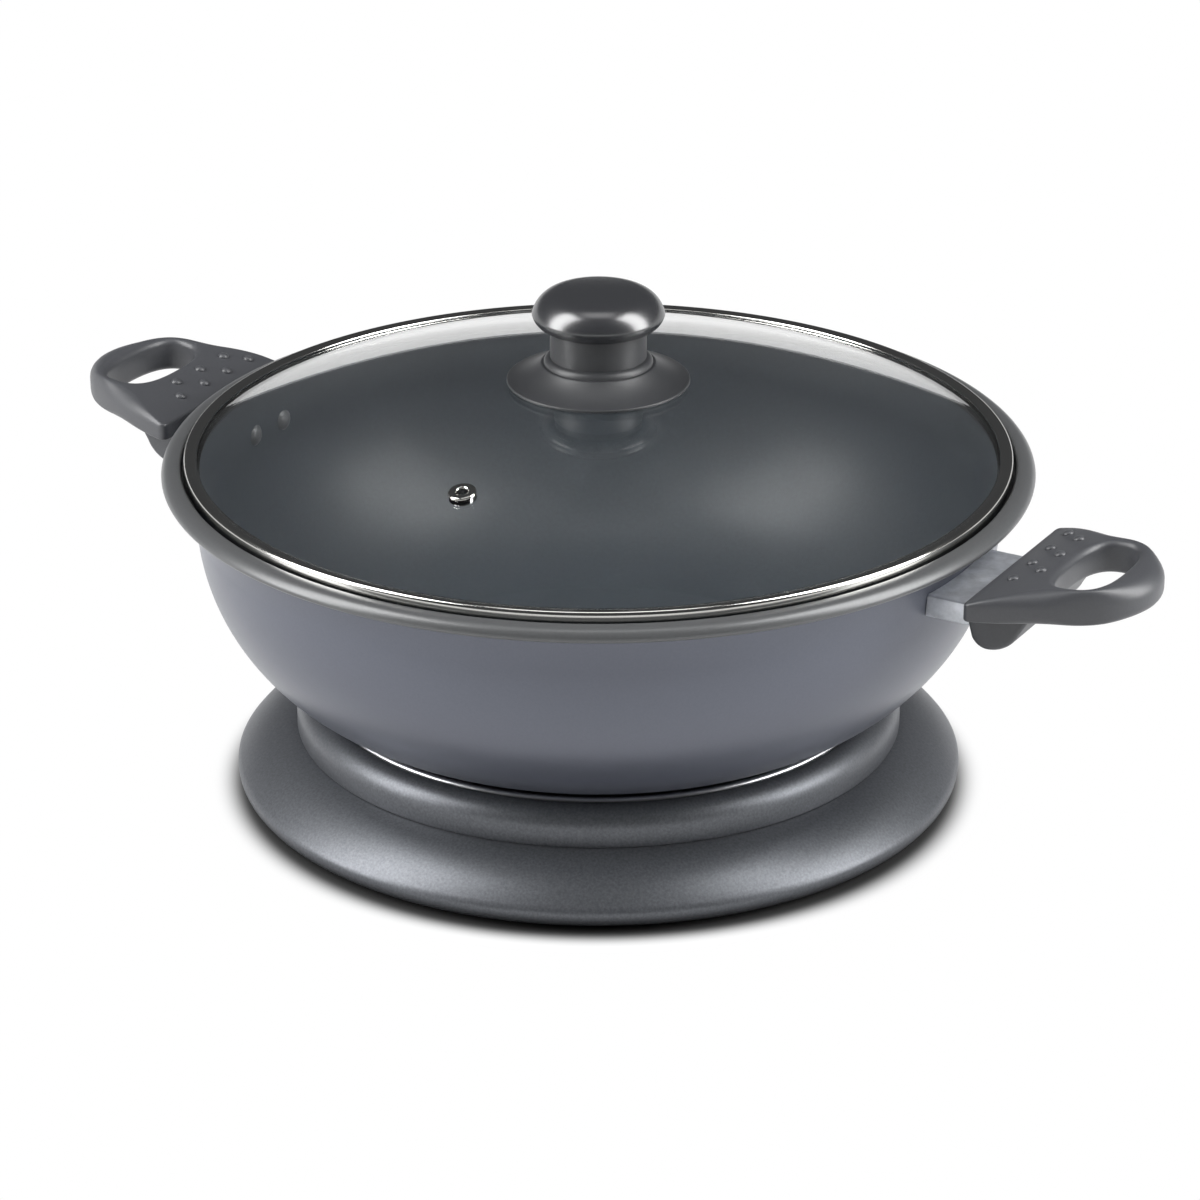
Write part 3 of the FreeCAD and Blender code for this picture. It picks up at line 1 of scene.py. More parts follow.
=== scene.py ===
import math
import bmesh
import bpy
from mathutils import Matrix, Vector


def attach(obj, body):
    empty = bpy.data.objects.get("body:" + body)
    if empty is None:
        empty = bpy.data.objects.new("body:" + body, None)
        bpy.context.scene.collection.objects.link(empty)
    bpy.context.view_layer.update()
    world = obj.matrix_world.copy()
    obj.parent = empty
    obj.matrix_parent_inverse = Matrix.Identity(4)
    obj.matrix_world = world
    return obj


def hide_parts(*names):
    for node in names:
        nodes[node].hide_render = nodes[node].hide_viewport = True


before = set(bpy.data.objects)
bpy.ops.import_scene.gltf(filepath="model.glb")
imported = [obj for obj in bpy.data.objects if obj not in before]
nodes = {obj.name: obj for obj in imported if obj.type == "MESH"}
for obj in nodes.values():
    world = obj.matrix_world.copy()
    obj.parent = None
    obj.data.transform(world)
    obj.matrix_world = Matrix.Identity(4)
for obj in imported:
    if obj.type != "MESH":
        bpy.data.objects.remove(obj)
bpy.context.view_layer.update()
mm = 0.001
gap = 0.02  # mm between pieces that rest on each other
print("frame loaded")


def linear(code):  # sRGB hex to the linear colour that the shaders take
    parts = [int(code[i:i + 2], 16) / 255 for i in (0, 2, 4)]
    return [c / 12.92 if c <= 0.04045 else ((c + 0.055) / 1.055) ** 2.4 for c in parts] + [1]


def addNode(tree, kind, settings={}, links={}):
    node = tree.nodes.new(kind)
    for name, value in settings.items():
        if isinstance(name, int) or name in node.inputs:
            node.inputs[name].default_value = value
        else:
            setattr(node, name, value)
    for name, source in links.items():
        tree.links.new(source, node.inputs[name])
    return node


def deselectAll():
    if bpy.context.object and bpy.context.object.mode != "OBJECT":
        bpy.ops.object.mode_set(mode="OBJECT")
    bpy.ops.object.select_all(action="DESELECT")


def pickOnly(piece):
    deselectAll()
    piece.select_set(True)
    bpy.context.view_layer.objects.active = piece


def copied(piece):  # with a mesh of its own
    one = piece.copy()
    one.data = piece.data.copy()
    bpy.context.scene.collection.objects.link(one)
    return one


def curved(corners, fineness=2.0):
    # (x, z) corners; (x, z, radius, turn) starts an arc to the next one, and turn 1 bulges to the right
    points = []
    for here, there in zip(corners, corners[1:] + corners[:1]):
        points.append(here[:2])
        if len(here) > 2:
            radius, turn = here[2:]
            chord = Vector(there[:2]) - Vector(here[:2])
            left = Vector((-chord.y, chord.x)).normalized() * turn
            rise = math.sqrt(max(radius ** 2 - chord.length_squared / 4, 0))
            centre = Vector(here[:2]) + chord / 2 + left * rise
            start = math.atan2(here[1] - centre.y, here[0] - centre.x)
            sweep = 2 * math.asin(min(chord.length / 2 / radius, 1)) * turn
            steps = max(3, round(abs(sweep) * radius / fineness), round(abs(sweep) / 0.26))
            for i in range(1, steps):
                angle = start + sweep * i / steps
                points.append((centre.x + radius * math.cos(angle), centre.y + radius * math.sin(angle)))
    return points


def weld():  # in edit mode: merge what meets
    bpy.ops.mesh.select_all(action="SELECT")
    bpy.ops.mesh.remove_doubles(threshold=1e-5)
    bpy.ops.mesh.select_all(action="SELECT")


def tidyMesh():  # weld, turn the faces outwards and leave edit mode
    weld()
    bpy.ops.mesh.normals_make_consistent(inside=False)
    bpy.ops.object.mode_set(mode="OBJECT")


def drawn(name, points, y=0):  # one vertex, extruded point by point round a closed section
    deselectAll()
    bpy.ops.mesh.primitive_plane_add(size=0.002)
    piece = bpy.context.object
    piece.name = name
    bpy.ops.object.mode_set(mode="EDIT")
    bpy.ops.mesh.merge(type="CENTER")
    x, z = points[0]
    bpy.ops.transform.translate(value=(x * mm, y * mm, z * mm))
    for here, there in zip(points, points[1:] + points[:1]):
        step = ((there[0] - here[0]) * mm, 0, (there[1] - here[1]) * mm)
        bpy.ops.mesh.extrude_vertices_move(TRANSFORM_OT_translate={"value": step})
    weld()
    return piece


def turned(name, corners, steps=256, fineness=2.0):  # a closed section, spun about the upright axis
    piece = drawn(name, curved(corners, fineness))
    bpy.ops.mesh.spin(steps=steps, angle=2 * math.pi, center=(0, 0, 0), axis=(0, 0, 1))
    tidyMesh()
    return piece


def prism(name, corners, halfWidth):  # a closed side view, pushed out to both sides of the XZ plane
    piece = drawn(name, curved(corners, 0.7), -halfWidth)
    bpy.ops.mesh.edge_face_add()
    bpy.ops.mesh.extrude_region_move(TRANSFORM_OT_translate={"value": (0, 2 * halfWidth * mm, 0)})
    tidyMesh()
    return piece


def applied(piece, kind, **settings):
    pickOnly(piece)
    modifier = piece.modifiers.new(kind.title(), kind)
    for name, value in settings.items():
        setattr(modifier, name, value)
    bpy.ops.object.modifier_apply(modifier=modifier.name)


def softEdges(piece, width, segments=3, angle=35):
    applied(piece, "BEVEL", width=width * mm, segments=segments, limit_method="ANGLE",
            angle_limit=math.radians(angle), harden_normals=False)


def finish(piece, material, body, cadNodes, smooth=35):
    pickOnly(piece)
    bpy.ops.object.transform_apply(location=True, rotation=True, scale=True)
    bpy.ops.object.shade_smooth_by_angle(angle=math.radians(smooth))
    piece.data.materials.clear()
    for one in material if isinstance(material, list) else [material]:
        piece.data.materials.append(one)
    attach(piece, body)
    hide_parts(*cadNodes)


def smoothCopy(node, material, body, bevel=0, angle=30):  # the CAD piece, welded and smoothed
    piece = bpy.data.objects.new(node + "_dressed", nodes[node].data.copy())
    bpy.context.scene.collection.objects.link(piece)
    pickOnly(piece)
    bpy.ops.object.mode_set(mode="EDIT")
    bpy.ops.mesh.select_all(action="SELECT")
    bpy.ops.mesh.remove_doubles(threshold=1e-6)
    bpy.ops.mesh.dissolve_limited(angle_limit=math.radians(1))
    bpy.ops.object.mode_set(mode="OBJECT")
    if bevel:
        softEdges(piece, bevel, 2, angle)
    finish(piece, material, body, [node], angle)
    return piece


smearSize = 22  # mm, the patches in which a rubbed or plated surface shines more and less


def surface(name, colour, metallic=0.0, roughness=0.5, grain=0.0, grainSize=1.0, bump=0.0,
            bumpSize=1.0, smear=0.0, coat=0.0, coatRoughness=0.1, ior=None):
    # grain darkens and lightens the colour, bump is in mm, smear varies the roughness; sizes in mm
    made = bpy.data.materials.new(name)
    made.use_nodes = True
    tree = made.node_tree
    tree.nodes.clear()
    place = addNode(tree, "ShaderNodeTexCoord").outputs["Object"]
    settings = {"Metallic": metallic, "Roughness": roughness, "Base Color": linear(colour),
                "Coat Weight": coat, "Coat Roughness": coatRoughness}
    if ior:
        settings["IOR"] = ior
    shader = addNode(tree, "ShaderNodeBsdfPrincipled", settings)
    spread = {"From Min": 0.3, "From Max": 0.7}  # between which nearly all of the noise lies
    if grain:
        flakes = addNode(tree, "ShaderNodeTexNoise",
                         {"Scale": 1000 / grainSize, "Detail": 3.0, "Roughness": 0.6}, {"Vector": place})
        shade = addNode(tree, "ShaderNodeMapRange", {**spread, "To Min": 1 - grain, "To Max": 1 + grain},
                        {"Value": flakes.outputs[0]})
        tinted = addNode(tree, "ShaderNodeVectorMath", {"operation": "SCALE", 0: linear(colour)[:3]},
                         {"Scale": shade.outputs[0]})
        tree.links.new(tinted.outputs[0], shader.inputs["Base Color"])
    if smear:
        patches = addNode(tree, "ShaderNodeTexNoise", {"Scale": 1000 / smearSize, "Detail": 4.0},
                          {"Vector": place})
        wear = addNode(tree, "ShaderNodeMapRange",
                       {**spread, "To Min": roughness - smear, "To Max": roughness + smear},
                       {"Value": patches.outputs[0]})
        tree.links.new(wear.outputs[0], shader.inputs["Roughness"])
    if bump:
        pits = addNode(tree, "ShaderNodeTexNoise", {"Scale": 1000 / bumpSize, "Detail": 2.0},
                       {"Vector": place})
        raised = addNode(tree, "ShaderNodeBump", {"Strength": 1.0, "Distance": bump * mm},
                         {"Height": pits.outputs[0]})
        tree.links.new(raised.outputs[0], shader.inputs["Normal"])
    addNode(tree, "ShaderNodeOutputMaterial", {}, {"Surface": shader.outputs[0]})
    return made


# Satin metallic lacquer sprayed on the cast pan: blue grey with a fine aluminium flake
panLacquer = surface("satin_metallic_lacquer", "51545e", 0.5, 0.36, 0.05, 0.9, coat=0.25, coatRoughness=0.3)
# Sprayed PTFE non-stick: near black with a faint fleck and a weak shine
nonStick = surface("sprayed_ptfe_coating", "2c3034", 0.0, 0.42, 0.10, 1.4, 0.015, 1.2, ior=1.35)
# The same spray on the flange, in a paler grey and with a smoother shine
rimLacquer = surface("sprayed_rim_lacquer", "4c4d4e", 0.2, 0.33, 0.06, 1.2)
# Moulded phenolic resin from a polished tool: a clear shine over a very fine grain
capPhenolic = surface("moulded_phenolic", "27282a", 0.0, 0.25, 0.05, 0.8, 0.02, 0.7, ior=1.75)
# The same resin from a spark-eroded tool, which leaves it satin: the knob's neck and skirt
knobPhenolic = surface("rough_moulded_phenolic", "2a2b2d", 0.0, 0.45, 0.06, 0.9, 0.025, 0.8)
# The same satin resin, a shade paler, for the handles
gripPhenolic = surface("satin_moulded_phenolic", "3a3b3e", 0.0, 0.42, 0.07, 0.9, 0.025, 0.8)
# Metallic charcoal paint on the base: a coarse flake in a satin binder
basePaint = surface("flaked_charcoal_paint", "54565a", 0.6, 0.42, 0.2, 1.0, 0.02, 1.0)
# Cold rolled stainless steel, polished
polishedSteel = surface("polished_stainless_steel", "c4c3bf", 1.0, 0.13, smear=0.03)
# Bright pressed aluminium, lightly clouded by the press
brightAluminium = surface("bright_pressed_aluminium", "bcbdbf", 1.0, 0.32, smear=0.04)
# Pressed steel with a dull plating that clouds its shine
pressedSteel = surface("dull_plated_steel", "c2c5ca", 0.6, 0.4, 0.22, 6.0, smear=0.1)
# Cast aluminium, as it leaves the mould: grey, with an open grain that breaks up its shine
castAluminium = surface("cast_aluminium", "8d8e8f", 1.0, 0.48, 0.06, 1.5, 0.03, 1.5)
# Cold headed aluminium: pale, with the smooth shine of the heading tool
aluminiumRivet = surface("headed_aluminium_rivet", "a9abae", 1.0, 0.3)
# Steel tube browned in patches by its own heat
elementSheath = surface("heat_browned_steel_sheath", "6a5f55", 1.0, 0.42, 0.08, 3.0)
# Sheet steel under black stoving paint: even and dull
blackSheet = surface("black_stoved_sheet_steel", "242628", 0.0, 0.5, 0.05, 1.2, 0.01, 1.0)
# Zinc plated steel: pale with a soft shine
zincPlate = surface("zinc_plated_steel", "b0b1ab", 1.0, 0.32)
# Moulded rubber and moulded silicone: matt, with hardly a highlight
rubber = surface("moulded_rubber", "1c1c1d", 0.0, 0.75, 0.06, 1.0, 0.02, 0.8)
silicone = surface("moulded_silicone", "2b2b2c", 0.0, 0.6)
# Unglazed pressed ceramic: chalky and off-white
steatite = surface("unglazed_steatite", "d8d2c4", 0.0, 0.7, 0.03, 1.0)
# Black phenolic and textured ABS: the dull grained skin of a plain moulding
blackPhenolic = surface("black_phenolic", "222224", 0.0, 0.45, 0.05, 0.8, 0.015, 0.7)
controlPlastic = surface("textured_abs", "2e2f32", 0.0, 0.44, 0.05, 0.7, 0.025, 0.7)
# Red acrylic lens: a deep colour under a clear gloss
lampRed = surface("red_translucent_acrylic", "b4281e", 0.0, 0.12, coat=0.5, coatRoughness=0.05)


def glassMaterial():  # clear tempered soda-lime glass, which lets the lamps through
    made = bpy.data.materials.new("clear_tempered_glass")
    made.use_nodes = True
    tree = made.node_tree
    tree.nodes.clear()
    pane = addNode(tree, "ShaderNodeBsdfPrincipled", {"Base Color": linear("fcfdfd"), "Roughness": 0.0,
                                                      "IOR": 1.5, "Transmission Weight": 1.0})
    clear = addNode(tree, "ShaderNodeBsdfTransparent", {"Color": linear("f4f5f5")})
    rays = addNode(tree, "ShaderNodeLightPath")
    both = addNode(tree, "ShaderNodeMixShader", {}, {0: rays.outputs["Is Shadow Ray"]})
    tree.links.new(pane.outputs[0], both.inputs[1])
    tree.links.new(clear.outputs[0], both.inputs[2])
    addNode(tree, "ShaderNodeOutputMaterial", {}, {"Surface": both.outputs[0]})
    return made


glass = glassMaterial()
print("materials made")


def box(low, high):  # a plain block to cut with, corners in mm
    deselectAll()
    middle = [(a + b) / 2 * mm for a, b in zip(low, high)]
    bpy.ops.mesh.primitive_cube_add(size=1, location=middle)
    block = bpy.context.object
    block.scale = [(b - a) * mm for a, b in zip(low, high)]
    bpy.ops.object.transform_apply(location=True, rotation=True, scale=True)
    return block


def rod(start, end, radius, sides=64):  # a plain cylinder between two points, in mm
    deselectAll()
    way = Vector(end) - Vector(start)
    bpy.ops.mesh.primitive_cylinder_add(vertices=sides, radius=radius * mm, depth=way.length * mm,
                                        location=(Vector(start) + way / 2) * mm,
                                        rotation=way.to_track_quat("Z", "Y").to_euler())
    made = bpy.context.object
    bpy.ops.object.transform_apply(location=True, rotation=True, scale=True)
    return made


def combine(piece, tool, operation):
    applied(piece, "BOOLEAN", object=tool, operation=operation, solver="EXACT")
    bpy.data.objects.remove(tool)


base = {"footRadius": 139.4, "edgeRadius": 143.9, "edgeHeight": 9.0, "lowest": 1.5, "edgeRoll": 6.4,
        "bow": 40.0, "top": 23.8, "collarRadius": 120.1, "wall": 2.2, "collarTop": 39.094,
        "shoulder": 8.6, "mouthRadius": 111.5, "ledge": 36.594, "upstandInset": 2.7, "upstand": 3.0,
        "holeRadius": 108.6, "innerBowRadius": 119.0, "seam": 0.5, "seamRound": 0.6, "collarWall": 2.5,
        "ledgeRadius": 106.5, "innerShoulder": 5.1}
inlet = {"halfWidth": 25.2, "low": 16.8, "high": 32.2, "near": 90, "far": 170}


def cutInlet(piece):  # the opening for the inlet, at the rear
    i = inlet
    block = box((-i["halfWidth"], i["near"], i["low"]), (i["halfWidth"], i["far"], i["high"]))
    combine(piece, block, "DIFFERENCE")


def makeSkirt():
    b = base
    rim = b["collarRadius"] - b["upstandInset"]  # the upstand centres the collar
    inner = b["edgeRadius"] - b["wall"]
    skirt = turned("skirt", [
        (b["footRadius"] - b["wall"], b["lowest"]),
        (b["footRadius"], b["lowest"], b["edgeRoll"], 1),
        (b["edgeRadius"], b["edgeHeight"], b["bow"], 1),
        (b["collarRadius"], b["top"]),
        (rim, b["top"]),
        (rim, b["top"] + b["upstand"]),
        (rim - b["wall"], b["top"] + b["upstand"]),
        (rim - b["wall"], b["top"]),
        (b["holeRadius"], b["top"]),
        (b["holeRadius"], b["top"] - b["wall"]),
        (b["innerBowRadius"], b["top"] - b["wall"], b["bow"], -1),
        (inner, b["edgeHeight"], b["edgeRoll"], -1),
    ])
    softEdges(skirt, 0.35, 2, 50)
    cutInlet(skirt)
    finish(skirt, basePaint, "base", ["base_skirt"])


def makeCollar():
    b = base
    bore = b["collarRadius"] - b["collarWall"]
    under = b["ledge"] - b["collarWall"]
    collar = turned("collar", [
        (bore, b["top"] + gap),
        (b["collarRadius"] - b["seam"], b["top"] + gap, b["seamRound"], 1),
        (b["collarRadius"], b["top"] + b["seam"]),
        (b["collarRadius"], b["collarTop"] - b["shoulder"], b["shoulder"], 1),
        (b["mouthRadius"], b["collarTop"]),
        (b["mouthRadius"], b["ledge"]),
        (b["ledgeRadius"], b["ledge"]),
        (b["ledgeRadius"], under),
        (bore - b["innerShoulder"], under, b["innerShoulder"], -1),
        (bore, under - b["innerShoulder"]),
    ], fineness=1.0)
    softEdges(collar, 0.5, 3, 50)
    cutInlet(collar)
    finish(collar, basePaint, "base", ["base_collar"])


reflector = {"hub": 24.0, "floor": 12.0, "floorRadius": 93.3, "wall": 1.0, "roll": 6.0, "lipRadius": 105.3,
             "lipRise": 1.1, "lipRoll": 2.0, "rimRadius": 110.9, "beadStart": 38.9, "beadRound": 1.6,
             "beadWidth": 3.0, "beadFoot": 2.8, "holeHeight": 24.5, "holeNear": 60, "holeFar": 115,
             "holes": ((-11, 3.9), (11, 3.9), (0, 3.4))}  # x and radius, for the pins and the probe


def makeReflector():
    r = reflector
    ledge = base["ledge"]
    dish = turned("reflector", [
        (r["hub"], r["floor"]),
        (r["floorRadius"], r["floor"], r["roll"], 1),
        (r["floorRadius"] + r["roll"], r["floor"] + r["roll"]),
        (r["lipRadius"], ledge - r["wall"]),
        (r["lipRadius"] + r["lipRise"], ledge),
        (r["rimRadius"], ledge),
        (r["rimRadius"], r["beadStart"], r["beadRound"], 1),  # the bead in the gap under the pan
        (r["rimRadius"] - r["beadWidth"], r["beadStart"]),
        (r["rimRadius"] - r["beadFoot"], ledge + r["wall"]),
        (r["lipRadius"], ledge + r["wall"], r["lipRoll"], 1),
        (r["lipRadius"] - r["wall"], ledge),
        (r["floorRadius"] + r["roll"] - r["wall"], r["floor"] + r["roll"], r["roll"] - r["wall"], -1),
        (r["floorRadius"], r["floor"] + r["wall"]),
        (r["hub"], r["floor"] + r["wall"]),
    ], fineness=1.0)
    for x, radius in r["holes"]:
        passage = rod((x, r["holeNear"], r["holeHeight"]), (x, r["holeFar"], r["holeHeight"]), radius)
        combine(dish, passage, "DIFFERENCE")
    finish(dish, brightAluminium, "base", ["heat_reflector"])


foot = {"radius": 8.0, "height": 4.0, "circle": 118.0, "edge": 1.5, "taper": 0.8, "neck": 3.2,
        "neckTop": 5.6, "barb": 4.1, "tip": 2.5, "top": 7.9}


def makeFeet():
    f = foot
    pad = turned("foot_1", [
        (0, 0),
        (f["radius"] - f["edge"], 0, f["edge"], 1),
        (f["radius"], f["edge"]),
        (f["radius"] - f["taper"], f["height"]),
        (f["neck"], f["height"]),
        (f["neck"], f["neckTop"]),
        (f["barb"], f["neckTop"]),
        (f["tip"], f["top"]),
        (0, f["top"]),
    ], steps=48, fineness=0.6)
    pads = [pad] + [copied(pad) for index in range(3)]
    for index, one in enumerate(pads):
        angle = index * math.pi / 2
        one.name = f"foot_{index + 1}"
        one.location = (f["circle"] * mm * math.cos(angle), f["circle"] * mm * math.sin(angle), 0)
    for index, one in enumerate(pads):
        finish(one, rubber, "base", [f"rubber_foot_{index + 1}"])


makeSkirt()
makeCollar()
makeReflector()
makeFeet()
smoothCopy("bottom_plate", blackSheet, "base")
smoothCopy("hot_plate", castAluminium, "base", 0.4, 50)
smoothCopy("heating_element", elementSheath, "base")
smoothCopy("inlet_socket", blackPhenolic, "base", 0.4, 50)
print("base made")


pan = {"under": 34.0, "flat": 76.0, "belly": 81.0, "bellyHeight": 115.0, "wallRadius": 157.0, "neck": 158.5,
       "neckHeight": 128.4, "flangeRadius": 170.0, "flangeTop": 135.5, "seatRadius": 162.4, "seat": 131.0,
       "throat": 155.9, "floor": 38.0, "floorRadius": 90.75, "wall": 2.6, "footWidth": 5.0,
       "footHeight": 1.5, "curlInset": 2.2, "curlDrop": 5.4, "curlRound": 2.6, "edgeDrop": 3.4,
       "edgeInset": 4.0, "edgeRound": 4.6, "seatRound": 0.8}


def makePan():
    p = pan
    inner = p["belly"] - p["wall"]
    shell = turned("pan", [
        (0, p["under"]),
        (p["flat"] - p["footWidth"], p["under"]),
        (p["flat"] - p["footWidth"], p["under"] - p["footHeight"]),
        (p["flat"], p["under"] - p["footHeight"]),
        (p["flat"], p["under"], p["belly"], 1),
        (p["wallRadius"], p["bellyHeight"]),
        (p["neck"], p["neckHeight"]),
        (p["flangeRadius"] - p["curlInset"], p["flangeTop"] - p["curlDrop"], p["curlRound"], 1),
        (p["flangeRadius"], p["flangeTop"] - p["edgeDrop"], p["edgeRound"], 1),
        (p["flangeRadius"] - p["edgeInset"], p["flangeTop"]),
        (p["seatRadius"] + p["seatRound"], p["flangeTop"], p["seatRound"], 1),
        (p["seatRadius"], p["flangeTop"] - p["seatRound"]),
        (p["seatRadius"], p["seat"]),
        (p["throat"], p["seat"]),
        (p["wallRadius"] - p["wall"], p["bellyHeight"], inner, -1),
        (p["floorRadius"], p["floor"]),
        (0, p["floor"]),
    ])
    softEdges(shell, 0.5, 3, 28)
    finish(shell, [panLacquer, nonStick, castAluminium, rimLacquer], "pan", ["pan_shell"], 40)
    for face in shell.data.polygons:
        centre, normal = face.center / mm, face.normal
        radius = math.hypot(centre.x, centre.y)
        outward = (normal.x * centre.x + normal.y * centre.y) / max(radius, 0.01)
        facesUp = normal.z > 0.3
        if centre.z < p["under"] + 0.4 and radius < p["flat"] + 0.2:
            face.material_index = 2  # bare metal under the foot
        elif radius > p["throat"] + 1 and (facesUp or radius > p["flangeRadius"] - 2.5):
            face.material_index = 3  # the flange's top and edge
        elif outward < -0.05 or facesUp:
            face.material_index = 1  # the inside


grip = {"start": 177.0, "tip": 236.5, "halfWidth": 42.0, "tipDepth": 14.5, "tipHalfWidth": 25.5,
        "tipRadius": 29.672, "sideBow": 130.082, "under": 119.2, "underRise": 0.038, "arch": 140.0,
        "archX": 225.6, "archZ": -5.5, "corner": 2.5, "cornerInset": 0.2, "holeX": 212.25,
        "holeHalfWidth": 11.25, "holeHalfLength": 24.0, "holeEdge": 2.4, "holeFullness": 2.7,
        "innerRound": 1.3, "addedRound": 5.7, "roundStart": 3.0, "roundLength": 32.0, "lowerRound": 0.6,
        "flank": 5.6, "flankTaper": 1.6, "flankLength": 45.0, "bumpRadius": 2.3, "bumpHeight": 1.5,
        "bumpSink": 0.1}
gripBumps = [(186, -17), (186, 0), (186, 16), (186, 32), (193.5, -9), (193.5, 8), (193.5, 25)]


def gripTop(spot):  # the height of the arched top
    g = grip
    return g["archZ"] + math.sqrt(g["arch"] ** 2 - (spot.x - g["archX"]) ** 2)


def gripUnder(x):
    return grip["under"] + grip["underRise"] * (x - grip["start"])


def gripOutline(count):  # the plan outline as evenly spaced points, with its inner corners rounded off
    g = grip
    c = g["corner"]
    flat = curved([
        (g["start"], g["halfWidth"] - c),
        (g["start"], -g["halfWidth"] + c, c, 1),
        (g["start"] + c, -g["halfWidth"] + g["cornerInset"], g["sideBow"], 1),
        (g["tip"] - g["tipDepth"], -g["tipHalfWidth"], g["tipRadius"], 1),
        (g["tip"], 0, g["tipRadius"], 1),
        (g["tip"] - g["tipDepth"], g["tipHalfWidth"], g["sideBow"], 1),
        (g["start"] + c, g["halfWidth"] - g["cornerInset"], c, 1),
    ], fineness=0.4)
    lengths = [0]
    for here, there in zip(flat, flat[1:] + flat[:1]):
        lengths.append(lengths[-1] + math.dist(here, there))
    points, leg = [], 0
    for index in range(count):
        wanted = lengths[-1] * index / count
        while lengths[leg + 1] < wanted:
            leg += 1
        share = (wanted - lengths[leg]) / (lengths[leg + 1] - lengths[leg])
        here, there = flat[leg], flat[(leg + 1) % len(flat)]
        points.append(Vector(here).lerp(Vector(there), share))
    return points


def normalsOf(points):  # outward, for a loop that runs anticlockwise
    made = []
    for index, point in enumerate(points):
        along = points[(index + 1) % len(points)] - points[index - 1]
        made.append(Vector((along.y, -along.x)).normalized())
    return made


def gripSections(count=200):
    # loops of points round the grip, from the hole's top edge outwards, down, back under and up the hole
    g = grip
    rim = gripOutline(count)
    rimNormals = normalsOf(rim)
    power = g["holeFullness"]  # 2 would be an ellipse
    hole = []
    for point in rim:
        angle = math.atan2(point.y / g["holeHalfLength"], (point.x - g["holeX"]) / g["holeHalfWidth"])
        spot = Vector((math.cos(angle), math.sin(angle)))
        full = (abs(spot.x) ** power + abs(spot.y) ** power) ** (-1 / power)
        x = g["holeX"] + g["holeHalfWidth"] * spot.x * full
        hole.append(Vector((x, g["holeHalfLength"] * spot.y * full)))
    holeNormals = normalsOf(hole)
    edge = g["holeEdge"]
    rounds = []  # how far the outer edges are rounded: more towards the tip, less beside the hole's ends
    drops = []  # how far the top edge falls: down to a thin flank
    for spot in rim:
        share = min(max((spot.x - g["start"] - g["roundStart"]) / g["roundLength"], 0), 1)
        wanted = g["innerRound"] + g["addedRound"] * share * share * (3 - 2 * share)
        rounds.append(min(wanted, min((h - spot).length for h in hole) - edge - 1))
        share = min(max((spot.x - g["start"]) / g["flankLength"], 0), 1)
        height = gripTop(spot) - gripUnder(spot.x)
        drops.append(max(g["innerRound"], height - g["flank"] - g["flankTaper"] * share))
    rounds = [sum(rounds[(i + k) % count] for k in range(-5, 6)) / 11 for i in range(count)]

    quarter = []  # the two shares of a quarter circle, one rising and one falling
    for i in range(7):
        angle = i / 6 * math.pi / 2
        quarter.append((1 - math.cos(angle), 1 - math.sin(angle)))
    low = g["lowerRound"]
    loops = list(zip(hole, holeNormals, rim, rimNormals, rounds, drops))
    sections = []
    for rising, falling in quarter:  # the hole's top edge
        sections.append([(h + hn * edge * rising, gripTop(h + hn * edge) - edge * falling)
                         for h, hn, r, rn, c, d in loops])
    for i in range(1, 8):  # the top face
        spots = [(h + hn * edge).lerp(r - rn * c, i / 8) for h, hn, r, rn, c, d in loops]
        sections.append([(spot, gripTop(spot)) for spot in spots])
    for rising, falling in quarter:  # the top edge
        sections.append([(r - rn * c * falling, gripTop(r - rn * c) - d * rising)
                         for h, hn, r, rn, c, d in loops])
    for rising, falling in quarter:  # the lower edge
        sections.append([(r - rn * low * c * rising, gripUnder(r.x) + low * c * falling)
                         for h, hn, r, rn, c, d in loops])
    for i in range(1, 6):  # the underside
        spots = [(r - rn * low * c).lerp(h + hn * edge, i / 6) for h, hn, r, rn, c, d in loops]
        sections.append([(spot, gripUnder(spot.x)) for spot in spots])
    for rising, falling in quarter:  # the hole's lower edge
        sections.append([(h + hn * edge * falling, gripUnder(h.x) + edge * rising)
                         for h, hn, r, rn, c, d in loops])
    return sections


def ringed(name, sections):  # a circle extruded loop by loop, each loop moved to its section, and closed
    deselectAll()
    count = len(sections[0])
    bpy.ops.mesh.primitive_circle_add(vertices=count, radius=0.01)
    piece = bpy.context.object
    piece.name = name
    bpy.ops.object.mode_set(mode="EDIT")
    mesh = bmesh.from_edit_mesh(piece.data)
    order = mesh.verts.layers.int.new("order")
    for index, vert in enumerate(mesh.verts):
        vert[order] = index
    for number, section in enumerate(sections + sections[:1]):
        if number:
            bpy.ops.mesh.extrude_edges_move()
            mesh = bmesh.from_edit_mesh(piece.data)
            order = mesh.verts.layers.int["order"]
        for vert in mesh.verts:
            if vert.select:
                spot, height = section[vert[order]]
                vert.co = (spot.x * mm, spot.y * mm, height * mm)
        bmesh.update_edit_mesh(piece.data)
    tidyMesh()
    return piece


boss = {"start": 173.0, "end": 198.0, "halfWidth": 30.0, "under": 104.0, "overlap": 2.0, "lipInset": 2.6,
        "lipRise": 4.0, "lipRound": 7.0, "bowStart": 8.5, "bow": 14.0, "tailInset": 3.5, "tailRise": 8.5,
        "bevel": 1.6, "slotEnd": 184.7, "slotHalfWidth": 25.7, "slotLow": 109.8, "slotHigh": 119.2,
        "slotReach": 5.0, "screw": 180.75, "seatDepth": 3.2, "seatRadius": 3.8, "boreTop": 124.7,
        "boreRadius": 2.05, "boreStart": 95.0}


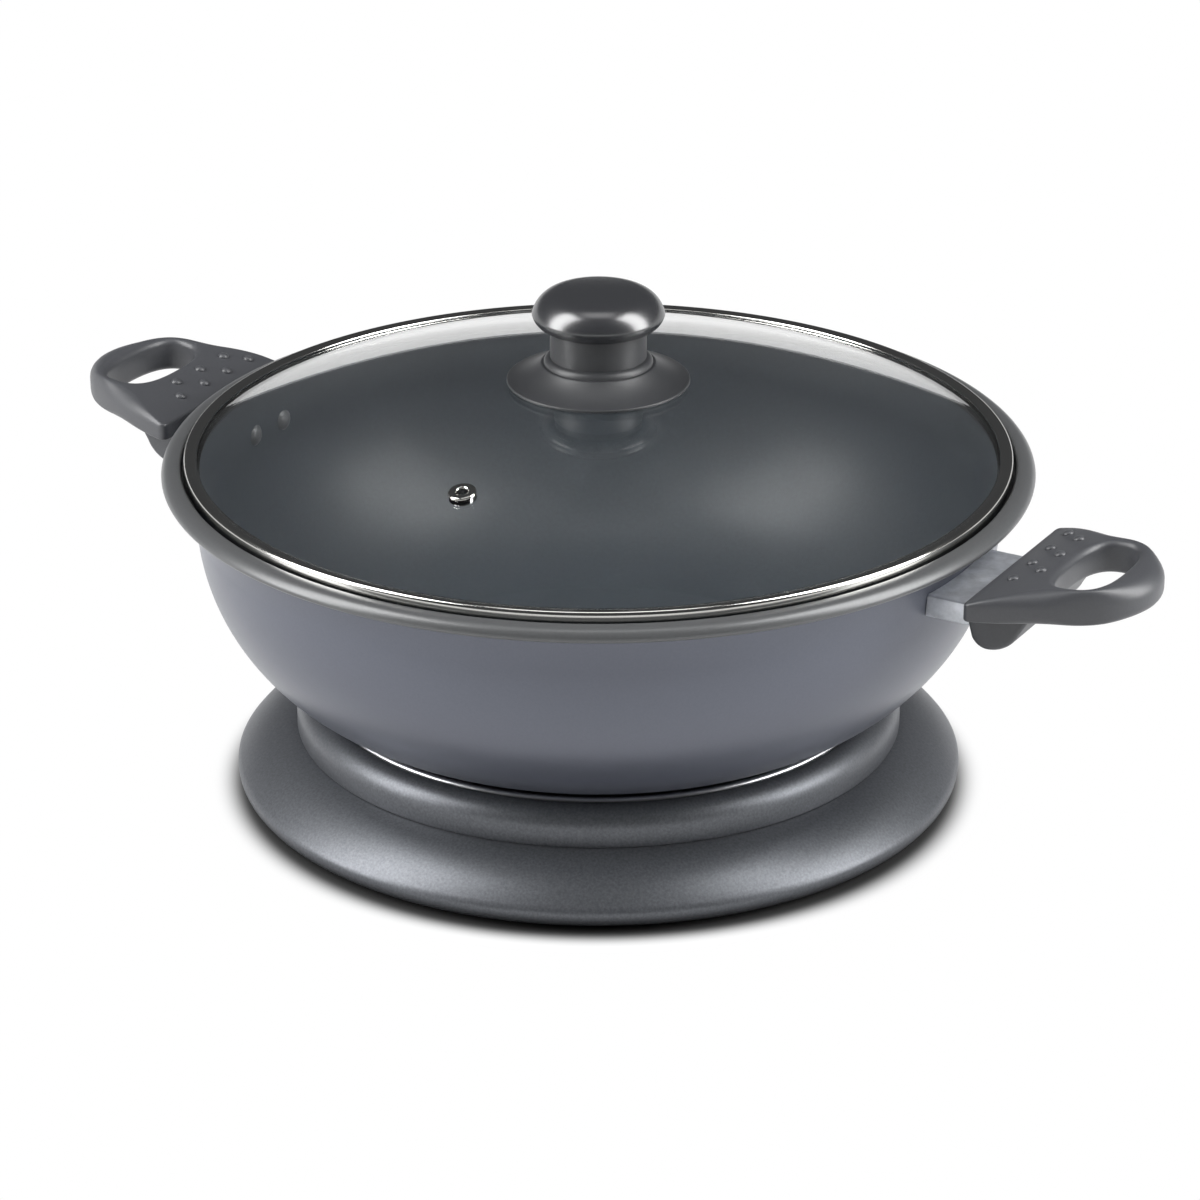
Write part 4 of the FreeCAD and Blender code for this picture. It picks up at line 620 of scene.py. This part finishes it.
def makeHandle(side, turn):
    handle = ringed(f"handle_grip_{side}", gripSections())
    b = boss
    fin = prism("fin", [
        (b["start"], grip["under"] + b["overlap"]),
        (b["start"], b["slotHigh"] - b["overlap"]),
        (b["start"] + b["lipInset"], b["under"] + b["lipRise"], b["lipRound"], 1),
        (b["start"] + b["bowStart"], b["under"], b["bow"], 1),
        (b["end"] - b["tailInset"], b["under"] + b["tailRise"]),
        (b["end"] + b["overlap"], grip["under"] + b["overlap"]),
    ], b["halfWidth"])
    softEdges(fin, b["bevel"], 4, 25)
    combine(handle, fin, "UNION")
    combine(handle, box((b["start"] - b["slotReach"], -b["slotHalfWidth"], b["slotLow"]),
                        (b["slotEnd"], b["slotHalfWidth"], b["slotHigh"])), "DIFFERENCE")
    screw = ((b["under"] + b["seatDepth"], b["seatRadius"]), (b["boreTop"], b["boreRadius"]))
    for top, radius in screw:  # the screw's seat and its bore
        combine(handle, rod((b["screw"], 0, b["boreStart"]), (b["screw"], 0, top), radius), "DIFFERENCE")
    deselectAll()
    bpy.ops.mesh.primitive_uv_sphere_add(segments=24, ring_count=12, radius=grip["bumpRadius"] * mm)
    bump = bpy.context.object
    bump.scale.z = grip["bumpHeight"] / grip["bumpRadius"]
    bpy.ops.object.transform_apply(location=False, rotation=False, scale=True)
    bumps = []
    for x, y in gripBumps:
        one = copied(bump)
        y = -y if turn else y  # so that the two handles mirror each other
        one.location = (x * mm, y * mm, (gripTop(Vector((x, y))) - grip["bumpSink"]) * mm)
        one.rotation_euler.y = -math.asin((grip["archX"] - x) / grip["arch"])
        bumps.append(one)
    bpy.data.objects.remove(bump)
    pickOnly(handle)
    for one in bumps:
        one.select_set(True)
    bpy.ops.object.join()
    handle.rotation_euler.z = math.radians(turn)
    finish(handle, gripPhenolic, "pan", [f"handle_{side}"], 32)


makePan()
for side, turn in (("right", 0), ("left", 180)):
    makeHandle(side, turn)
    smoothCopy(f"handle_bracket_{side}", pressedSteel, "pan", 1.4, 40)
    rivets = smoothCopy(f"bracket_rivets_{side}", [aluminiumRivet, rimLacquer], "pan")
    for face in rivets.data.polygons:  # the heads inside the pan are sprayed over with it
        if face.center.xy.length < (pan["wallRadius"] + 0.5) * mm:
            face.material_index = 1
print("pan made")


lid = {"domeCentre": -261.513, "domeRadius": 428.5, "glass": 3.6, "glassRadius": 160.15,
       "glassUnder": 132.05, "glassEdge": 135.934, "seat": 131.0, "ringRadius": 161.2, "ringBore": 154.2,
       "ringWall": 0.9, "ringRound": 0.8, "lipRadius": 156.0, "lipHeight": 137.731, "lipInset": 0.4,
       "lipRoll": 0.8, "crown": 139.031, "crownRound": 1.6, "screwHole": 3.2, "ventHole": 4.8,
       "ventPlace": 101.0}


def makeGlass():
    d = lid
    inner = d["domeRadius"] - d["glass"]
    pane = turned("glass_dome", [
        (0, d["domeCentre"] + inner, inner, -1),
        (d["glassRadius"], d["glassUnder"]),
        (d["glassRadius"], d["glassEdge"], d["domeRadius"], 1),
        (0, d["domeCentre"] + d["domeRadius"]),
    ], fineness=4.0)
    above = 175  # well clear of the crown
    for y, below, radius in ((0, 150, d["screwHole"]), (-d["ventPlace"], 130, d["ventHole"])):
        combine(pane, rod((0, y, below), (0, y, above), radius), "DIFFERENCE")
    finish(pane, glass, "lid", ["lid_glass"])


def makeRing():
    d = lid
    inside = d["ringRadius"] - d["ringWall"]
    ring = turned("rim_band", [
        (d["ringBore"], d["seat"] + gap),
        (d["ringRadius"] - d["ringRound"], d["seat"] + gap, d["ringRound"], 1),
        (d["ringRadius"], d["seat"] + d["ringRound"]),
        (d["ringRadius"], d["crown"] - d["crownRound"], d["crownRound"], 1),
        (d["ringRadius"] - d["crownRound"], d["crown"]),
        (d["lipRadius"] + d["lipInset"], d["lipHeight"] + d["ringWall"], d["lipRoll"], 1),
        (d["lipRadius"], d["lipHeight"]),
        (inside, d["lipHeight"]),
        (inside, d["seat"] + d["ringWall"]),
        (d["ringBore"], d["seat"] + d["ringWall"]),
    ], fineness=0.5)
    finish(ring, polishedSteel, "lid", ["lid_rim_ring"], 40)


knob = {"step": 21.2, "stepRound": 2.5, "neck": 18.7, "neckStart": 175.964, "neckEnd": 187.864,
        "neckRound": 7.2, "widest": 193.264, "radius": 25.7, "capRound": 11.6, "crown": 15.0,
        "top": 202.464, "crownBow": 120.0, "crownRise": 0.94, "skirtRadius": 35.5, "skirtUnder": 165.664,
        "skirtTop": 173.464, "skirtEdge": 1.2, "skirtLip": 0.6, "skirtSweep": 24.0, "skirtLand": 1.0,
        "bore": 3.0, "gasketTop": 168.337, "gasketRadius": 11.0, "hollow": 2.4}


def makeKnob():
    k = knob
    mushroom = turned("knob_grip", [
        (0, k["skirtTop"] + gap),
        (k["step"], k["skirtTop"] + gap, k["stepRound"], 1),
        (k["neck"], k["neckStart"]),
        (k["neck"], k["neckEnd"], k["neckRound"], 1),
        (k["radius"], k["widest"], k["capRound"], 1),
        (k["crown"], k["top"], k["crownBow"], 1),
        (0, k["top"] + k["crownRise"]),
    ], steps=128, fineness=0.8)
    finish(mushroom, [capPhenolic, knobPhenolic], "lid", ["lid_knob"], 40)
    for face in mushroom.data.polygons:
        if face.center.z < k["neckEnd"] * mm:
            face.material_index = 1
    edge = k["skirtRadius"] - k["skirtEdge"]
    flare = turned("knob_flare", [
        (k["bore"], k["gasketTop"]),
        (k["gasketRadius"], k["gasketTop"]),
        (k["gasketRadius"], k["gasketTop"] + k["hollow"]),
        (edge, k["skirtUnder"] + k["skirtLip"]),
        (edge, k["skirtUnder"]),
        (k["skirtRadius"], k["skirtUnder"]),
        (k["skirtRadius"], k["skirtUnder"] + k["skirtEdge"], k["skirtSweep"], -1),
        (k["step"] + k["skirtLand"], k["skirtTop"]),
        (k["bore"], k["skirtTop"]),
    ], steps=128, fineness=0.8)
    softEdges(flare, 0.3, 3, 40)
    finish(flare, knobPhenolic, "lid", ["knob_skirt"], 40)


eyelet = {"bore": 2.2, "tube": 3.6, "head": 5.4, "headRound": 0.8, "headUnder": 0.05, "flange": 5.2,
          "flangeWall": 0.8, "lowest": -4.45}


def makeEyelet():
    e = eyelet
    headTop = e["headUnder"] + e["headRound"]
    tube = turned("vent_eyelet", [
        (e["bore"], e["lowest"]),
        (e["flange"], e["lowest"]),
        (e["flange"], e["lowest"] + e["flangeWall"]),
        (e["tube"], e["lowest"] + e["flangeWall"]),
        (e["tube"], e["headUnder"]),
        (e["head"], e["headUnder"], e["headRound"], 1),
        (e["head"] - e["headRound"], headTop),
        (e["bore"] + e["headRound"], headTop, e["headRound"], 1),
        (e["bore"], e["headUnder"]),
    ], steps=48, fineness=0.25)
    tube.rotation_euler.x = math.asin(lid["ventPlace"] / lid["domeRadius"])
    height = lid["domeCentre"] + math.sqrt(lid["domeRadius"] ** 2 - lid["ventPlace"] ** 2)
    tube.location = (0, -lid["ventPlace"] * mm, height * mm)
    finish(tube, polishedSteel, "lid", ["steam_vent_grommet"], 40)


makeGlass()
makeRing()
makeKnob()
makeEyelet()
print("lid made")


for node, material, body, slot, bevel in (
        ("control_shell_top", controlPlastic, "thermostat_control", "control_plastic", 0.3),
        ("control_shell_bottom", controlPlastic, "thermostat_control", "control_plastic", 0.3),
        ("plug_block", blackPhenolic, "thermostat_control", "socket_plastic", 0.4),
        ("probe_rod", zincPlate, "thermostat_control", "pin_metal", 0),
        ("pilot_lamp_lens", lampRed, "thermostat_control", "lamp_red", 0),
        ("temperature_dial", controlPlastic, "dial", "dial_plastic", 0.3)):
    smoothCopy(node, material, body, bevel, 40)
print("control made")

plainFinishes = {  # the CAD pieces that stay as they are
    "base_screws": zincPlate, "element_seals": steatite, "terminal_pins": zincPlate,
    "lower_spacers": castAluminium, "upper_spacers": castAluminium, "plate_bolts": zincPlate,
    "thermal_fuse": steatite, "fuse_clip": pressedSteel, "inlet_screws": zincPlate,
    "handle_screws": zincPlate, "knob_gasket": silicone, "knob_washer": zincPlate, "knob_screw": zincPlate,
    "contact_sleeves": zincPlate, "control_screws": zincPlate, "pilot_lamp": lampRed,
    "thermostat_switch": steatite, "dial_spindle": zincPlate}
for node, material in plainFinishes.items():
    for place in nodes[node].material_slots:
        place.material = material


def seenRays(tree, rays):  # rays from the camera, also through the glass, but not once they have bounced
    bounces = addNode(tree, "ShaderNodeMath", {"operation": "ADD"},
                      {0: rays.outputs["Diffuse Depth"], 1: rays.outputs["Glossy Depth"]})
    direct = addNode(tree, "ShaderNodeMath", {"operation": "LESS_THAN", 1: 0.5}, {0: bounces.outputs[0]})
    through = addNode(tree, "ShaderNodeMath", {"operation": "MULTIPLY"},
                      {0: rays.outputs["Is Transmission Ray"], 1: direct.outputs[0]})
    return addNode(tree, "ShaderNodeMath", {"operation": "MAXIMUM"},
                   {0: rays.outputs["Is Camera Ray"], 1: through.outputs[0]}).outputs[0]


stage = {"floorSize": 8.0, "shadowOffset": (-0.0010, 0.0020, 0), "sweepHeight": 0.05, "room": "d0d2d6",
         "roomStrength": 0.11, "lampAim": 0.09}
fades = (  # over the floor: from and to which distance in metres, and the value at each
    (0.1415, 0.1565, 0.0, 1.0),  # how white it is seen, from the shadow round the base outwards
    (0.140, 0.158, 0.04, 0.85),  # the paper's colour, darkened close round the base: a painted shadow
    (0.45, 0.75, 0.55, 1.0))  # how bright the table is in reflections


def makeFloor():  # white where it is seen, a painted shadow close round the base, and a bright table for reflections
    deselectAll()
    bpy.ops.mesh.primitive_plane_add(size=stage["floorSize"])
    floor = bpy.context.object
    floor.name = "floor"
    made = bpy.data.materials.new("white_paper_sweep")
    made.use_nodes = True
    tree = made.node_tree
    tree.nodes.clear()
    place = addNode(tree, "ShaderNodeTexCoord")
    aside = addNode(tree, "ShaderNodeVectorMath", {"operation": "ADD", 1: stage["shadowOffset"]},
                    {0: place.outputs["Object"]})  # the painted shadow falls a little to the front
    flat = addNode(tree, "ShaderNodeVectorMath", {"operation": "LENGTH"}, {0: aside.outputs[0]})
    white, shade, table = [
        addNode(tree, "ShaderNodeMapRange",
                {"From Min": start, "From Max": end, "To Min": low, "To Max": high,
                 "interpolation_type": "SMOOTHSTEP"}, {"Value": flat.outputs["Value"]}).outputs[0]
        for start, end, low, high in fades]
    # The paper's colour carries the painted shadow close round the base
    paper = addNode(tree, "ShaderNodeBsdfDiffuse", {}, {"Color": shade})
    glow = addNode(tree, "ShaderNodeEmission", {"Color": (1, 1, 1, 1), "Strength": 1.0})
    rays = addNode(tree, "ShaderNodeLightPath")
    mirrored = addNode(tree, "ShaderNodeMath", {"operation": "MULTIPLY"},
                       {0: rays.outputs["Is Glossy Ray"], 1: table})
    bright = addNode(tree, "ShaderNodeMath", {"operation": "MAXIMUM"},
                     {0: seenRays(tree, rays), 1: mirrored.outputs[0]})
    share = addNode(tree, "ShaderNodeMath", {"operation": "MULTIPLY"}, {0: bright.outputs[0], 1: white})
    both = addNode(tree, "ShaderNodeMixShader", {},
                   {0: share.outputs[0], 1: paper.outputs[0], 2: glow.outputs[0]})
    addNode(tree, "ShaderNodeOutputMaterial", {}, {"Surface": both.outputs[0]})
    floor.data.materials.append(made)


def makeWorld():  # white where it is seen and, in reflections, where the paper rises; else a dim room
    world = bpy.data.worlds.new("studio")
    bpy.context.scene.world = world
    world.use_nodes = True
    tree = world.node_tree
    tree.nodes.clear()
    rays = addNode(tree, "ShaderNodeLightPath")
    way = addNode(tree, "ShaderNodeTexCoord")
    heights = addNode(tree, "ShaderNodeSeparateXYZ", {}, {"Vector": way.outputs["Generated"]})
    low = addNode(tree, "ShaderNodeMath", {"operation": "LESS_THAN", 1: stage["sweepHeight"]},
                  {0: heights.outputs["Z"]})
    sweep = addNode(tree, "ShaderNodeMath", {"operation": "MULTIPLY"},
                    {0: rays.outputs["Is Glossy Ray"], 1: low.outputs[0]})
    seen = addNode(tree, "ShaderNodeMath", {"operation": "MAXIMUM"},
                   {0: seenRays(tree, rays), 1: sweep.outputs[0]})
    room = addNode(tree, "ShaderNodeBackground",
                   {"Color": linear(stage["room"]), "Strength": stage["roomStrength"]})
    white = addNode(tree, "ShaderNodeBackground", {"Color": (1, 1, 1, 1), "Strength": 1.0})
    both = addNode(tree, "ShaderNodeMixShader", {},
                   {0: seen.outputs[0], 1: room.outputs[0], 2: white.outputs[0]})
    addNode(tree, "ShaderNodeOutputWorld", {}, {"Surface": both.outputs[0]})


camera = {"azimuth": 29.9, "elevation": 23.87, "distance": 1.775, "aimHeight": 0.0727, "aimRight": 0.0006,
          "lens": 134.7}


def viewVectors():
    a, e = math.radians(camera["azimuth"]), math.radians(camera["elevation"])
    back = Vector((math.sin(a) * math.cos(e), -math.cos(a) * math.cos(e), math.sin(e)))
    right = Vector((math.cos(a), math.sin(a), 0))
    return back, right


def makeCamera():
    back, right = viewVectors()
    aim = Vector((0, 0, camera["aimHeight"])) + right * camera["aimRight"]
    lens = bpy.data.cameras.new("camera")
    lens.lens = camera["lens"]
    lens.sensor_width = 36
    lens.clip_end = 50
    eye = bpy.data.objects.new("camera", lens)
    eye.location = aim + back * camera["distance"]
    eye.rotation_euler = back.to_track_quat("Z", "Y").to_euler()
    bpy.context.scene.collection.objects.link(eye)
    bpy.context.scene.camera = eye


lamps = [  # name, place by the camera's right, towards it and up in metres, size, watts
    ("left_softbox", (-1.02, 0.22, 0.78), (0.6, 1.45), 33),
    ("right_softbox", (1.02, 0.22, 0.78), (0.6, 1.45), 33),
    ("top_softbox", (0.0, 0.1, 1.8), (0.9, 0.6), 4),
]


def makeLamps():
    right = viewVectors()[1]
    toCamera = Vector((right.y, -right.x, 0))
    for name, (side, back, up), (wide, high), watts in lamps:
        data = bpy.data.lights.new(name, "AREA")
        data.shape = "RECTANGLE"
        data.size, data.size_y = wide, high
        data.energy = watts
        lamp = bpy.data.objects.new(name, data)
        lamp.location = right * side + toCamera * back + Vector((0, 0, up))
        way = lamp.location - Vector((0, 0, stage["lampAim"]))
        lamp.rotation_euler = way.to_track_quat("Z", "Y").to_euler()
        bpy.context.scene.collection.objects.link(lamp)


makeFloor()
makeWorld()
makeCamera()
makeLamps()
bpy.context.scene.view_settings.view_transform = "Standard"
print("stage made")
